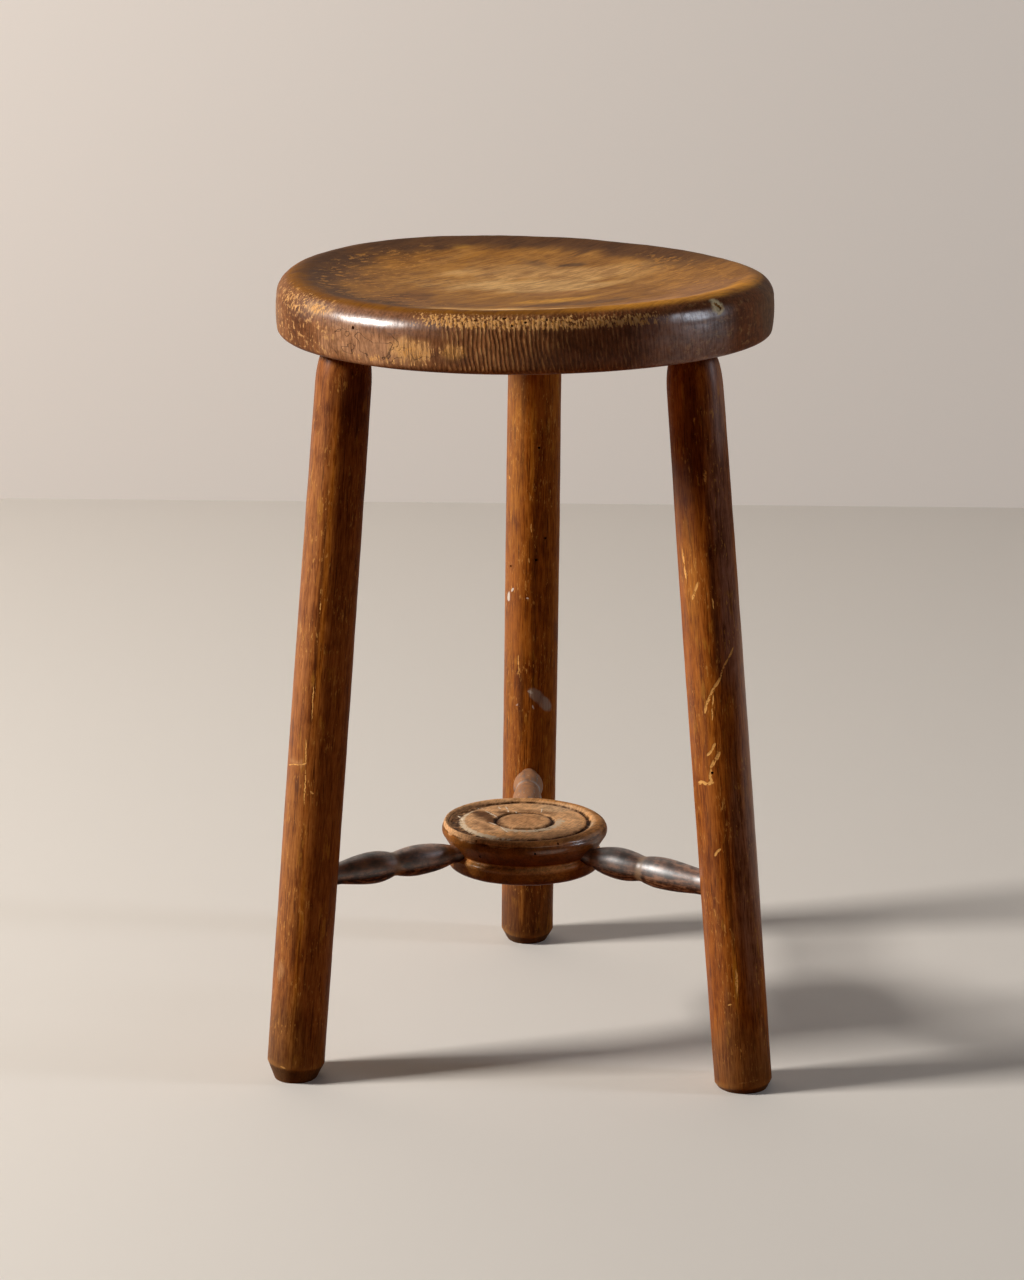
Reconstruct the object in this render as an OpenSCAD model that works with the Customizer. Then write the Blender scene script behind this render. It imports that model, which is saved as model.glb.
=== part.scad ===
// Tripod stool. A thick round seat with a shallow hollow stands on three turned legs
// that lean outwards. Low down, three turned stretchers run inwards from the legs and
// meet in a small turned hub. Every joint is a round tenon in a blind socket.
// Millimetres, +Z up. The origin is on the floor under the middle of the seat, and
// the foot of the back leg stands on +Y.

/* [Seat] */
// Width of the round seat
seat_d = 280; // [240:1:330]
// Thickness of the seat, from its underside to the crest of its rim
seat_t = 32.5; // [29:0.5:42]
// Height of the seat's underside over the floor
seat_base_h = 424.7; // [340:1:560]
// Depth of the hollow in the top, under the crest of the rim
dish_depth = 9.5; // [5:0.5:11]
// Slope of the hollow where it leaves the rim, in degrees
dish_rim_slope = 12; // [8:1:16]
// Radius of the seat's upper edge
seat_top_round = 12; // [6:0.5:14]
// Radius of the seat's lower edge
seat_low_round = 4; // [1:0.5:6]
// How far the edge swells between its two roundings
seat_edge_swell = 0.5; // [0.2:0.1:1.5]

/* [Legs] */
// Distance from the seat's edge in to a leg's axis, at the underside
leg_inset = 30.4; // [24:0.2:50]
// How much further out a foot stands than the top of its leg
leg_splay = 40; // [10:1:80]
// How far the tops of the legs are turned round the seat from the feet, in degrees
leg_twist = -2.2; // [-6:0.1:6]
// Thickness of a leg under its shoulder
leg_top_d = 30.8; // [27:0.2:40]
// Thickness of a leg above its foot
leg_foot_d = 33; // [28:0.2:42]
// Extra thickness at half height, from hand turning
leg_swell = 1; // [0:0.1:3]
// Length of the rounded shoulder at the top of a leg
leg_shoulder = 20; // [8:0.5:30]
// Length of bare tenon between a shoulder and the seat
leg_neck = 3; // [2.5:0.1:8]
// Width of the bevel round the end of a foot
foot_bevel_w = 4.8; // [2:0.1:7]
// Height of that bevel
foot_bevel_h = 9; // [3:0.5:14]
// Width of the bevel round the right foot, which is worn shorter
right_bevel_w = 3; // [2:0.1:7]
// Height of that bevel
right_bevel_h = 5; // [3:0.5:14]
// How far the right foot stands nearer the front than its place in the tripod
right_foot_ahead = 4; // [-10:0.5:15]
// Least wood sawn off a foot when the stool was levelled
foot_trim = 0.5; // [0.2:0.1:2]

/* [Leg tenons] */
// Thickness of the tenon at the top of a leg
leg_tenon_d = 22; // [18:0.5:25]
// Length of that tenon inside the seat
leg_tenon_len = 21; // [12:0.5:23]

/* [Stretchers] */
// Height over the floor of the point in the hub where the stretchers' axes meet
hub_h = 118; // [70:0.5:220]
// How much higher than that point the left stretcher's axis meets its leg
left_rise = 0.7; // [-12:0.1:12]
// The same on the right
right_rise = -0.6; // [-12:0.1:12]
// The same at the back
back_rise = 0.5; // [-12:0.1:12]
// Thickness of the bead on the leg's side of the waist
bead_out_d = 18.4; // [15:0.1:24]
// Thickness of the bead on the hub's side of the waist
bead_in_d = 18; // [15:0.1:24]
// Thickness of the waist between the beads
waist_d = 14; // [9:0.1:14.8]
// Length of the plain band at the waist
waist_w = 2; // [0.5:0.1:4]
// Distance from the waist out to the thickest place of the outer bead
bead_out_peak = 13; // [6:0.5:18]
// Distance from the waist in to the thickest place of the inner bead
bead_in_peak = 14.5; // [6:0.5:18]
// Distance from the leg in to the waist, on the left stretcher
waist_from_leg_left = 37.2; // [30:0.1:46]
// The same on the right stretcher, which was turned a little differently
waist_from_leg_right = 40.8; // [30:0.1:46]
// The same on the back stretcher
waist_from_leg_back = 33; // [30:0.1:46]
// Plain length of a stretcher between its outer bead and the leg
stretcher_land = 2.5; // [2:0.1:6]

/* [Stretcher tenons] */
// Thickness of the left stretcher where it enters the leg
leg_end_d_left = 12.6; // [10:0.1:14.8]
// The same on the right
leg_end_d_right = 14.2; // [10:0.1:14.8]
// The same at the back
leg_end_d_back = 10.4; // [10:0.1:14.8]
// Length of that end inside the leg
stretcher_leg_len = 13; // [6:0.5:14]
// Thickness of a stretcher where it enters the hub
stretcher_hub_d = 11; // [8:0.1:13]
// Length of that end inside the hub, from the bottom of the hub's cove
stretcher_hub_len = 18.5; // [10:0.5:26]
// Space between a stretcher's inner bead and the widest part of the hub
hub_bead_gap = 0.4; // [0.2:0.1:2]

/* [Hub] */
// Width of the hub over its upper bead
hub_d = 97.4; // [88:0.2:108]
// Width of the rim of the top face, from its outside to the groove inside it
hub_rim_w = 8.2; // [6:0.1:11]
// Height of the crest of the rim over the widest place of the hub
hub_rim_h = 5.5; // [4:0.1:7]
// Height of the crest of the rim over the stretchers' axes
hub_rise = 13.9; // [10:0.1:16]
// Depth of the hub's underside below the stretchers' axes
hub_drop = 13.4; // [9:0.1:15]
// Width of the hub over its lower bead
hub_low_d = 90.6; // [84:0.2:104]
// Thickness of the lower bead
hub_low_h = 10.2; // [8.5:0.1:10.6]
// Radius of the lower bead's bottom edge
hub_low_r = 3.8; // [2.5:0.1:4.5]
// Radius of the lower bead's upper edge
hub_shoulder_r = 2.4; // [1:0.1:3.5]
// Radius of the turn from the widest part of the hub into its sloping side
hub_bowl_r = 4; // [2:0.1:6]
// Width of the hub at the bottom of the cove between the two beads
hub_cove_d = 85; // [79:0.2:86]
// Depth of the bottom of the cove below the stretchers' axes
hub_cove_drop = 2.6; // [1.5:0.1:2.8]
// How far the front edge of the hub is tipped up, in degrees
hub_tilt = 2.5; // [-4:0.1:4]
// How far the hub sits to the right of the middle
hub_shift = 1.2; // [-3:0.1:3]

/* [Hub face] */
// Width of the groove inside the rim
rim_groove_w = 5.3; // [3:0.1:7]
// Depth of that groove under the crest of the rim
rim_groove_depth = 2.4; // [2:0.1:3.4]
// Depth of the flat ring of the face under the crest of the rim
face_drop = 0.9; // [0.4:0.1:1.8]
// Width of the button in the middle of the face
button_d = 31.4; // [16:0.2:44]
// Width of the groove round the button
button_groove_w = 2.6; // [1.5:0.1:5]
// Depth of that groove under the face
button_groove_depth = 1.5; // [0.5:0.1:3]
// Height of the button's middle over its edge
button_dome = 0.6; // [0.2:0.1:2]

/* [Clearances] */
// Space all round a tenon in its socket
tenon_gap = 0.1; // [0.02:0.01:0.3]
// Space left for glue between the end of a tenon and the bottom of its socket
glue_gap = 0.5; // [0.1:0.1:1]

/* [Hidden] */
$fn = 96;

// Places of the legs round the stool, in degrees from +X
left_az = 210;
right_az = 330;
back_az = 90;

// How far a cut runs past the surface that it opens
cut_over = 6;
// Points along a swelling, a bead and a rounding
swell_steps = 8;
bead_steps = 10;
round_steps = 6;
dish_steps = 14;
// How bluntly a bead ends at the hub, and how finely it runs out at the leg
bead_in_blunt = 0.75;
bead_out_fine = 1.2;
// Slope of the hub's side over its cove, from upright
bowl_turn = 32;

// Turn of a round piece about its own length, which keeps its seam clear of every socket
seam_turn = 90;

leg_top_r = seat_d / 2 - leg_inset;
leg_foot_r = leg_top_r + leg_splay;
hub_r = hub_d / 2;
cove_r = hub_cove_d / 2;
hub_centre = [hub_shift, 0, hub_h];

// The value that belongs to the leg at az, of one for each leg
function by_leg(az, left, right, back) = az == left_az ? left : az == right_az ? right : back;

// Axis of a leg: the point on the floor, and the point level with the seat's underside
function foot_point(az) = [
    leg_foot_r * cos(az),
    leg_foot_r * sin(az) - by_leg(az, 0, right_foot_ahead, 0),
    0
];
function top_point(az) = [
    leg_top_r * cos(az + leg_twist),
    leg_top_r * sin(az + leg_twist),
    seat_base_h
];
function leg_len(az) = norm(top_point(az) - foot_point(az));
function leg_lean(az) = acos(seat_base_h / leg_len(az));

// Radius of a leg at a distance s up its axis, under the shoulder
function leg_r(az, s) =
    (leg_foot_d + (leg_top_d - leg_foot_d) * s / leg_len(az)) / 2
    + leg_swell / 2 * sin(180 * s / leg_len(az));

// Height of the point where a stretcher's axis meets its leg's axis, and that point
function meet_h(az) = hub_h + by_leg(az, left_rise, right_rise, back_rise);
function meet_point(az) =
    foot_point(az) + (top_point(az) - foot_point(az)) * meet_h(az) / seat_base_h;

// Distance from the middle of the hub to that point, and to the near side of the leg
function reach(az) = norm(meet_point(az) - hub_centre);
function leg_side(az) =
    reach(az) - leg_r(az, meet_h(az) / cos(leg_lean(az))) / cos(leg_lean(az));

// Thickness of a stretcher's end in its leg, and distance of its waist from the hub's middle
function leg_end_d(az) = by_leg(az, leg_end_d_left, leg_end_d_right, leg_end_d_back);
function waist_s(az) =
    leg_side(az) - by_leg(az, waist_from_leg_left, waist_from_leg_right, waist_from_leg_back);

// Points of an oval arc round [cx, cy] from angle a0 to angle a1, and of a round one
function oval_arc(cx, cy, rx, ry, a0, a1, steps = round_steps) = [
    for (i = [0:steps])
        let (a = a0 + (a1 - a0) * i / steps)
        [cx + rx * cos(a), cy + ry * sin(a)]
];
function arc(cx, cy, r, a0, a1) = oval_arc(cx, cy, r, r, a0, a1);

// Turns its children's +Z from p towards q and sets them at p
module along(p, q) {
    v = q - p;
    translate(p)
        rotate([0, acos(v.z / norm(v)), atan2(v.y, v.x)])
            rotate(seam_turn)
                children();
}

// Half outline of the seat, with its underside at height 0
module seat_outline() {
    edge_r = seat_d / 2 - seat_edge_swell;
    top_cx = edge_r - seat_top_round;
    top_cy = seat_t - seat_top_round;
    side_mid = (top_cy + seat_low_round) / 2;
    side_half = (top_cy - seat_low_round) / 2;
    rim_end = arc(top_cx, top_cy, seat_top_round, 0, 90 + dish_rim_slope);
    lip = rim_end[round_steps];
    floor_y = seat_t - dish_depth;
    lip_rise = lip.y - floor_y;
    dish_power = tan(dish_rim_slope) * lip.x / lip_rise;
    polygon(concat(
        [[0, 0]],
        arc(edge_r - seat_low_round, seat_low_round, seat_low_round, -90, 0),
        [for (i = [1:swell_steps - 1])
            let (u = 2 * i / swell_steps - 1)
            [edge_r + seat_edge_swell * (1 - u * u), side_mid + side_half * u]],
        rim_end,
        [for (i = [1:dish_steps])
            let (x = lip.x * (1 - i / dish_steps))
            [x, floor_y + lip_rise * pow(x / lip.x, dish_power)]]
    ));
}

// Socket in the seat for the leg at az
module leg_socket(az) {
    along(foot_point(az), top_point(az))
        translate([0, 0, leg_len(az) - cut_over])
            cylinder(d = leg_tenon_d + 2 * tenon_gap, h = cut_over + leg_tenon_len + glue_gap);
}

module seat() {
    color("peru")
    difference() {
        translate([0, 0, seat_base_h])
            rotate_extrude()
                seat_outline();
        for (az = [left_az, right_az, back_az])
            leg_socket(az);
    }
}

// Half outline of a leg, with its length up the page and the floor on its axis at 0
module leg_outline(az) {
    foot_r = leg_r(az, 0) - by_leg(az, foot_bevel_w, right_bevel_w, foot_bevel_w);
    foot_end = -(foot_r * tan(leg_lean(az)) + foot_trim);
    bevel_top = foot_end + by_leg(az, foot_bevel_h, right_bevel_h, foot_bevel_h);
    shoulder_s = leg_len(az) - leg_neck - leg_shoulder;
    shoulder_r = leg_r(az, shoulder_s);
    tenon_r = leg_tenon_d / 2;
    tenon_s = leg_len(az) + leg_tenon_len;
    polygon(concat(
        [[0, foot_end], [foot_r, foot_end]],
        [for (i = [0:swell_steps])
            let (s = bevel_top + (shoulder_s - bevel_top) * i / swell_steps)
            [leg_r(az, s), s]],
        [for (i = [1:round_steps])
            let (a = 90 * i / round_steps)
            [tenon_r + (shoulder_r - tenon_r) * cos(a), shoulder_s + leg_shoulder * sin(a)]],
        [[tenon_r, tenon_s], [0, tenon_s]]
    ));
}

// Socket in the leg at az for its stretcher
module stretcher_socket(az) {
    along(hub_centre, meet_point(az))
        translate([0, 0, leg_side(az) - cut_over])
            cylinder(
                d = leg_end_d(az) + 2 * tenon_gap,
                h = cut_over + stretcher_leg_len + glue_gap
            );
}

// A leg, sawn level with the floor at its foot
module leg(az) {
    sole_cut = leg_foot_d + leg_swell + foot_bevel_w;
    color("sienna")
    difference() {
        along(foot_point(az), top_point(az))
            rotate_extrude()
                leg_outline(az);
        translate(foot_point(az) - [0, 0, sole_cut / 2])
            cube([2 * sole_cut, 2 * sole_cut, sole_cut], center = true);
        stretcher_socket(az);
    }
}

// Half outline of a stretcher, with its length up the page and the hub's axis at 0
module stretcher_outline(az) {
    band = waist_w / 2;
    in_start = hub_r + hub_bead_gap;
    in_peak = waist_s(az) - bead_in_peak;
    in_end = waist_s(az) - band;
    out_start = waist_s(az) + band;
    out_peak = waist_s(az) + bead_out_peak;
    out_end = leg_side(az) - stretcher_land;
    hub_end_r = stretcher_hub_d / 2;
    leg_end_r = leg_end_d(az) / 2;
    waist_r = waist_d / 2;
    in_r = bead_in_d / 2;
    out_r = bead_out_d / 2;
    hub_end_s = cove_r - stretcher_hub_len;
    leg_end_s = leg_side(az) + stretcher_leg_len;
    polygon(concat(
        [[0, hub_end_s], [hub_end_r, hub_end_s]],
        [for (i = [0:bead_steps])
            let (a = 90 * (1 - i / bead_steps))
            [hub_end_r + (in_r - hub_end_r) * pow(cos(a), bead_in_blunt),
             in_peak - (in_peak - in_start) * a / 90]],
        [for (i = [1:bead_steps])
            let (a = 90 * i / bead_steps)
            [waist_r + (in_r - waist_r) * sin(90 - a), in_peak + (in_end - in_peak) * a / 90]],
        [for (i = [0:bead_steps])
            let (a = 90 * i / bead_steps)
            [waist_r + (out_r - waist_r) * sin(a), out_start + (out_peak - out_start) * a / 90]],
        [for (i = [1:bead_steps])
            let (a = 90 * i / bead_steps)
            [leg_end_r + (out_r - leg_end_r) * pow(cos(a), bead_out_fine),
             out_peak + (out_end - out_peak) * a / 90]],
        [[leg_end_r, leg_end_s], [0, leg_end_s]]
    ));
}

module stretcher(az) {
    color("saddlebrown")
    along(hub_centre, meet_point(az))
        rotate_extrude()
            stretcher_outline(az);
}

// Half outline of the hub, with the stretchers' axes at height 0
module hub_outline() {
    rim_rx = hub_rim_w / 2;
    rim_cx = hub_r - rim_rx;
    rim_cy = hub_rise - hub_rim_h;
    rim_end_a = 180 - asin(1 - rim_groove_depth / hub_rim_h);
    rim_start_a = rim_end_a / (2 * round_steps);
    low_cx = hub_low_d / 2 - hub_low_r;
    low_cy = hub_low_r - hub_drop;
    shoulder_cx = hub_low_d / 2 - hub_shoulder_r;
    shoulder_cy = hub_low_h - hub_drop - hub_shoulder_r;
    face_y = hub_rise - face_drop;
    groove_out = rim_cx + rim_rx * cos(rim_end_a);
    groove_in = groove_out - rim_groove_w;
    groove_mid = (groove_out + groove_in) / 2;
    groove_y = hub_rise - rim_groove_depth;
    button_r = button_d / 2;
    ring_in = button_r + button_groove_w;
    ring_y = face_y - button_groove_depth;
    polygon(concat(
        [[0, -hub_drop]],
        arc(low_cx, low_cy, hub_low_r, -90, 0),
        arc(shoulder_cx, shoulder_cy, hub_shoulder_r, 0, 90),
        [[cove_r, -hub_cove_drop]],
        arc(hub_r - hub_bowl_r, rim_cy, hub_bowl_r, -bowl_turn, 0),
        oval_arc(rim_cx, rim_cy, rim_rx, hub_rim_h, rim_start_a, rim_end_a, 2 * round_steps),
        [[groove_mid, groove_y], [groove_in, face_y], [ring_in, face_y]],
        [[(ring_in + button_r) / 2, ring_y], [button_r, face_y]],
        [for (i = [1:round_steps])
            let (x = button_r * (1 - i / round_steps))
            [x, face_y + button_dome * (1 - pow(x / button_r, 2))]]
    ));
}

module hub() {
    color("burlywood")
    difference() {
        translate(hub_centre)
            rotate([-hub_tilt, 0, 0])
                rotate_extrude()
                    hub_outline();
        for (az = [left_az, right_az, back_az])
            along(hub_centre, meet_point(az))
                translate([0, 0, cove_r - stretcher_hub_len - glue_gap])
                    cylinder(d = stretcher_hub_d + 2 * tenon_gap, h = hub_r);
    }
}

module leg_left() leg(left_az);
module leg_right() leg(right_az);
module leg_back() leg(back_az);
module stretcher_left() stretcher(left_az);
module stretcher_right() stretcher(right_az);
module stretcher_back() stretcher(back_az);

seat();
leg_left();
leg_right();
leg_back();
stretcher_left();
stretcher_right();
stretcher_back();
hub();
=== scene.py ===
"""Tripod stool: its looks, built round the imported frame.

A thick dished seat stands on three turned legs. Low down, three turned stretchers run in
from the legs and meet in a grooved hub. Metres, +Z up, the front is -Y, and the sizes are
those of the part's source. Every solid of the frame is replaced by a finer piece of the
same form, which carries the warp, the tool marks, the worm holes and the wear.
"""

import logging
import math
from abc import ABC, abstractmethod
from collections.abc import Callable, Iterable, Mapping, Sequence
from dataclasses import dataclass
from enum import Enum
from functools import cached_property, partial
from typing import ClassVar

import bmesh
import bpy
from mathutils import Matrix, Vector, noise


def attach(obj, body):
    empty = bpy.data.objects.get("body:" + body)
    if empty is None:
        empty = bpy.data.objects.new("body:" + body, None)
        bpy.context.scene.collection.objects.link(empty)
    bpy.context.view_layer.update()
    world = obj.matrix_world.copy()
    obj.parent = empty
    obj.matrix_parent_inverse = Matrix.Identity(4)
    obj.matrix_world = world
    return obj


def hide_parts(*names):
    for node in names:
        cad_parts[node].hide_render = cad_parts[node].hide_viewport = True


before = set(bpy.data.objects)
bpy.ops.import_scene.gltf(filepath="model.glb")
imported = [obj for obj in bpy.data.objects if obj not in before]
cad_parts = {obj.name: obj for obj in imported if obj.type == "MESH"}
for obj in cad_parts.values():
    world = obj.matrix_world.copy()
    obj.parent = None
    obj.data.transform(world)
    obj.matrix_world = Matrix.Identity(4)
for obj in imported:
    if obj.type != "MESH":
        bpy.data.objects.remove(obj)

LOG = logging.getLogger("tripod_stool")
MM = 0.001
UP = Vector((0.0, 0.0, 1.0))
BACKWARD = Vector((0.0, 1.0, 0.0))
Colour = tuple[float, float, float]
Outline = list[tuple[float, float]]
# Distance from a leg's axis to its surface at the stretcher
LEG_SKIN = 16.6 * MM
# How far outside the wood a drill starts
DRILL_START = 8.0 * MM
# Distance in millimetres from the seat's middle to the lip of its dish
LIP_REACH = 131.0
# Direction in degrees of the chip in the seat's rim
CHIP_TURN = -40.5


class Side(Enum):
    """The three legs, by the direction that they stand in from the seat's middle."""

    LEFT = 210.0
    RIGHT = 330.0
    BACK = 90.0

    @property
    def word(self) -> str:
        """Name of the side in lower case, as the pieces use it."""
        return self.name.lower()

    @property
    def azimuth(self) -> float:
        """Direction of the side in radians from +X."""
        return math.radians(self.value)


def smooth_step(value: float, low: float, high: float) -> float:
    """Rises smoothly from 0 at low to 1 at high, or falls where low is the greater.

    Args:
        value: The number to place.
        low: Where the result is 0.
        high: Where the result is 1.

    Returns:
        A number from 0 to 1.
    """
    part = min(max((value - low) / (high - low), 0.0), 1.0)
    return part * part * (3.0 - 2.0 * part)


def window(value: float, low: float, full: float, fade: float, end: float) -> float:
    """Rises smoothly from 0 at low to 1 at full, and falls again from fade to 0 at end."""
    return smooth_step(value, low, full) * smooth_step(value, end, fade)


def angle_gap(angle: float, other: float) -> float:
    """Smallest turn from one angle in degrees to another, without its sign."""
    return abs((angle - other + 180.0) % 360.0 - 180.0)


def around(turn: float, middle: float, far: float, near: float) -> float:
    """1 up to near degrees away from a direction, and 0 from far degrees away."""
    return smooth_step(angle_gap(turn, middle), far, near)


def pushed(point: Vector, push: float) -> Vector:
    """A point moved away from its piece's axis."""
    away = Vector((point.x, point.y, 0.0))
    return point + away * (push / away.length)


def facing(way: Vector, axis: str = "Z") -> Matrix:
    """Turns the given axis into a direction."""
    return way.to_track_quat(axis, "Y").to_matrix().to_4x4()


def oval_arc(cx: float, cy: float, rx: float, ry: float, start: float, end: float, steps: int) -> Outline:
    """Points of an oval arc.

    Args:
        cx: Middle of the oval, across the page.
        cy: Middle of the oval, up the page.
        rx: Half width.
        ry: Half height.
        start: Angle of the first point in degrees.
        end: Angle of the last point in degrees.
        steps: Number of stretches.

    Returns:
        The points, from start to end.
    """
    turns = [math.radians(start + (end - start) * i / steps) for i in range(steps + 1)]
    return [(cx + rx * math.cos(turn), cy + ry * math.sin(turn)) for turn in turns]


def straight(start: tuple[float, float], end: tuple[float, float], steps: int) -> Outline:
    """Points after start along a straight line to end, in that many stretches.

    Args:
        start: Point before the first one.
        end: The last point.
        steps: Number of stretches.

    Returns:
        The points.
    """
    return [
        (start[0] + (end[0] - start[0]) * i / steps, start[1] + (end[1] - start[1]) * i / steps)
        for i in range(1, steps + 1)
    ]


def bead_half(start: tuple[float, float], end: tuple[float, float], power: float, steps: int) -> Outline:
    """Points after start along one half of a bead, whose crest is at the thicker end.

    Args:
        start: Radius and length of the first end, which isn't among the points.
        end: Radius and length of the other end.
        power: Fullness of the bead: 1 is an oval, and less is fuller.
        steps: Number of stretches.

    Returns:
        The points, up to end.
    """
    low, high = sorted((start[0], end[0]))
    quarter = math.sin if end[0] > start[0] else math.cos
    shares = [i / steps for i in range(1, steps + 1)]
    return [
        (low + (high - low) * quarter(math.pi / 2.0 * share) ** power, start[1] + (end[1] - start[1]) * share)
        for share in shares
    ]


@dataclass(frozen=True)
class PieceFrame:
    """A turned piece's own directions: along its length, and two across it."""

    origin: Vector
    across: Vector
    over: Vector
    along: Vector

    @classmethod
    def between(cls, start: Vector, end: Vector, over: Vector) -> "PieceFrame":
        """Frame of a piece that runs from start to end.

        Args:
            start: Point on the axis where the length is 0.
            end: Point further along the axis.
            over: Direction that the piece's second axis leans to.

        Returns:
            The frame, at start.
        """
        along = (end - start).normalized()
        flat = (over - along * over.dot(along)).normalized()
        return cls(start, flat.cross(along), flat, along)

    @property
    def matrix(self) -> Matrix:
        """Turns the piece's own coordinates into the row frame's."""
        turn = Matrix((self.across, self.over, self.along)).transposed()
        return Matrix.Translation(self.origin) @ turn.to_4x4()


@dataclass(frozen=True)
class Layout:
    """Places of the pieces, from the part's source."""

    foot_reach: float = 149.6 * MM
    top_reach: float = 109.6 * MM
    top_twist: float = -2.2
    right_foot_ahead: float = 4.0 * MM
    seat_base: float = 424.7 * MM
    hub_height: float = 118.0 * MM
    hub_shift: float = 1.2 * MM
    hub_tilt: float = 2.5

    def foot(self, side: Side) -> Vector:
        """Point of a leg's axis on the floor.

        Args:
            side: Which leg.

        Returns:
            The point.
        """
        ahead = self.right_foot_ahead if side is Side.RIGHT else 0.0
        turn = side.azimuth
        return Vector((self.foot_reach * math.cos(turn), self.foot_reach * math.sin(turn) - ahead, 0.0))

    def top(self, side: Side) -> Vector:
        """Point of a leg's axis level with the seat's underside."""
        turn = side.azimuth + math.radians(self.top_twist)
        return Vector((self.top_reach * math.cos(turn), self.top_reach * math.sin(turn), self.seat_base))

    def leg_length(self, side: Side) -> float:
        """Length of a leg's axis from the floor to the seat's underside."""
        return (self.top(side) - self.foot(side)).length

    def leg_lean(self, side: Side) -> float:
        """Angle of a leg from upright, in radians."""
        return math.acos(self.seat_base / self.leg_length(side))

    def leg_frame(self, side: Side) -> PieceFrame:
        """A leg's own frame, with the back of the stool over it."""
        return PieceFrame.between(self.foot(side), self.top(side), BACKWARD)

    @property
    def hub_centre(self) -> Vector:
        """Point in the hub where the stretchers' axes meet."""
        return Vector((self.hub_shift, 0.0, self.hub_height))

    def meet(self, side: Side) -> Vector:
        """Point where a stretcher's axis meets its leg's.

        Args:
            side: Which leg.

        Returns:
            The point.
        """
        rise = {Side.LEFT: 0.7, Side.RIGHT: -0.6, Side.BACK: 0.5}[side] * MM
        part = (self.hub_height + rise) / self.seat_base
        return self.foot(side).lerp(self.top(side), part)

    def stretcher_frame(self, side: Side) -> PieceFrame:
        """A stretcher's own frame, which starts at the hub's middle with its top over it."""
        return PieceFrame.between(self.hub_centre, self.meet(side), UP)

    def hub_frame(self) -> PieceFrame:
        """The hub's own frame, with its front edge tipped up.

        Returns:
            The frame.
        """
        tilt = math.radians(self.hub_tilt)
        return PieceFrame(
            self.hub_centre,
            Vector((1.0, 0.0, 0.0)),
            Vector((0.0, math.cos(tilt), -math.sin(tilt))),
            Vector((0.0, math.sin(tilt), math.cos(tilt))),
        )


LAYOUT = Layout()


@dataclass(frozen=True)
class Bore:
    """A round hole: a point outside the wood, and the point at the bottom of the hole."""

    mouth: Vector
    bottom: Vector
    radius: float
    sides: int = 48


@dataclass(frozen=True)
class Scoop:
    """A torn hollow: its middle, how far it reaches, and the direction that points out of it."""

    middle: Vector
    out: Vector
    half: Colour
    seed: float = 0.0


class Turning:
    """A piece turned on a lathe, from its half outline to a finished mesh."""

    def __init__(self, name: str, place: PieceFrame, outline: Outline, sides: int) -> None:
        """Spins the outline about the piece's length.

        Args:
            name: Name of the object.
            place: The piece's own frame.
            outline: Radius and length of each point in metres, from pole to pole.
            sides: Number of faces round the piece.
        """
        self.name = name
        self.place = place
        self.work = bmesh.new()
        points = [self.work.verts.new((radius, 0.0, length)) for radius, length in outline]
        lines = [self.work.edges.new(pair) for pair in zip(points, points[1:])]
        sector = math.tau / 8.0
        bmesh.ops.spin(self.work, geom=points + lines, axis=UP, angle=sector, steps=sides // 8)
        for doubling in range(3):
            whole = [*self.work.verts, *self.work.edges, *self.work.faces]
            copied = bmesh.ops.duplicate(self.work, geom=whole)["geom"]
            copies = [part for part in copied if isinstance(part, bmesh.types.BMVert)]
            bmesh.ops.rotate(self.work, verts=copies, matrix=Matrix.Rotation(sector * 2.0**doubling, 3, "Z"))
        bmesh.ops.remove_doubles(self.work, verts=self.work.verts, dist=0.002 * MM)
        bmesh.ops.recalc_face_normals(self.work, faces=self.work.faces)

    def reshape(self, rule: Callable[[Vector], Vector]) -> None:
        """Moves every point of the piece, in its own frame, by a rule."""
        for point in self.work.verts:
            point.co = rule(point.co)

    def saw_level(self) -> None:
        """Places the piece and saws off what lies below the floor."""
        self.work.transform(self.place.matrix)
        bmesh.ops.bisect_plane(
            self.work,
            geom=[*self.work.verts, *self.work.edges, *self.work.faces],
            dist=0.001 * MM,
            plane_co=(0.0, 0.0, 0.0),
            plane_no=(0.0, 0.0, -1.0),
            clear_outer=True,
        )
        rim = [line for line in self.work.edges if line.is_boundary]
        bmesh.ops.holes_fill(self.work, edges=rim, sides=0)
        bmesh.ops.recalc_face_normals(self.work, faces=self.work.faces)
        self.work.transform(self.place.matrix.inverted())

    def make(self, bores: Sequence[Bore], scoops: Sequence[Scoop] = ()) -> bpy.types.Object:
        """Places the piece in the row frame and cuts its holes.

        Args:
            bores: The round holes, in the row frame.
            scoops: The torn hollows, in the row frame.

        Returns:
            The finished object, which sits at the origin.
        """
        self.work.transform(self.place.matrix)
        piece = object_from(self.name, self.work)
        if bores or scoops:
            cut(piece, bores, scoops)
        piece.data.shade_smooth()
        piece.data.set_sharp_from_angle(angle=math.radians(40.0))
        return piece


def object_from(name: str, work: bmesh.types.BMesh) -> bpy.types.Object:
    """Makes an object of a bmesh and frees the bmesh.

    Args:
        name: Name of the object and its mesh.
        work: The finished bmesh, in the row frame.

    Returns:
        The object, linked to the scene.
    """
    mesh = bpy.data.meshes.new(name)
    work.to_mesh(mesh)
    work.free()
    piece = bpy.data.objects.new(name, mesh)
    bpy.context.scene.collection.objects.link(piece)
    return piece


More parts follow.
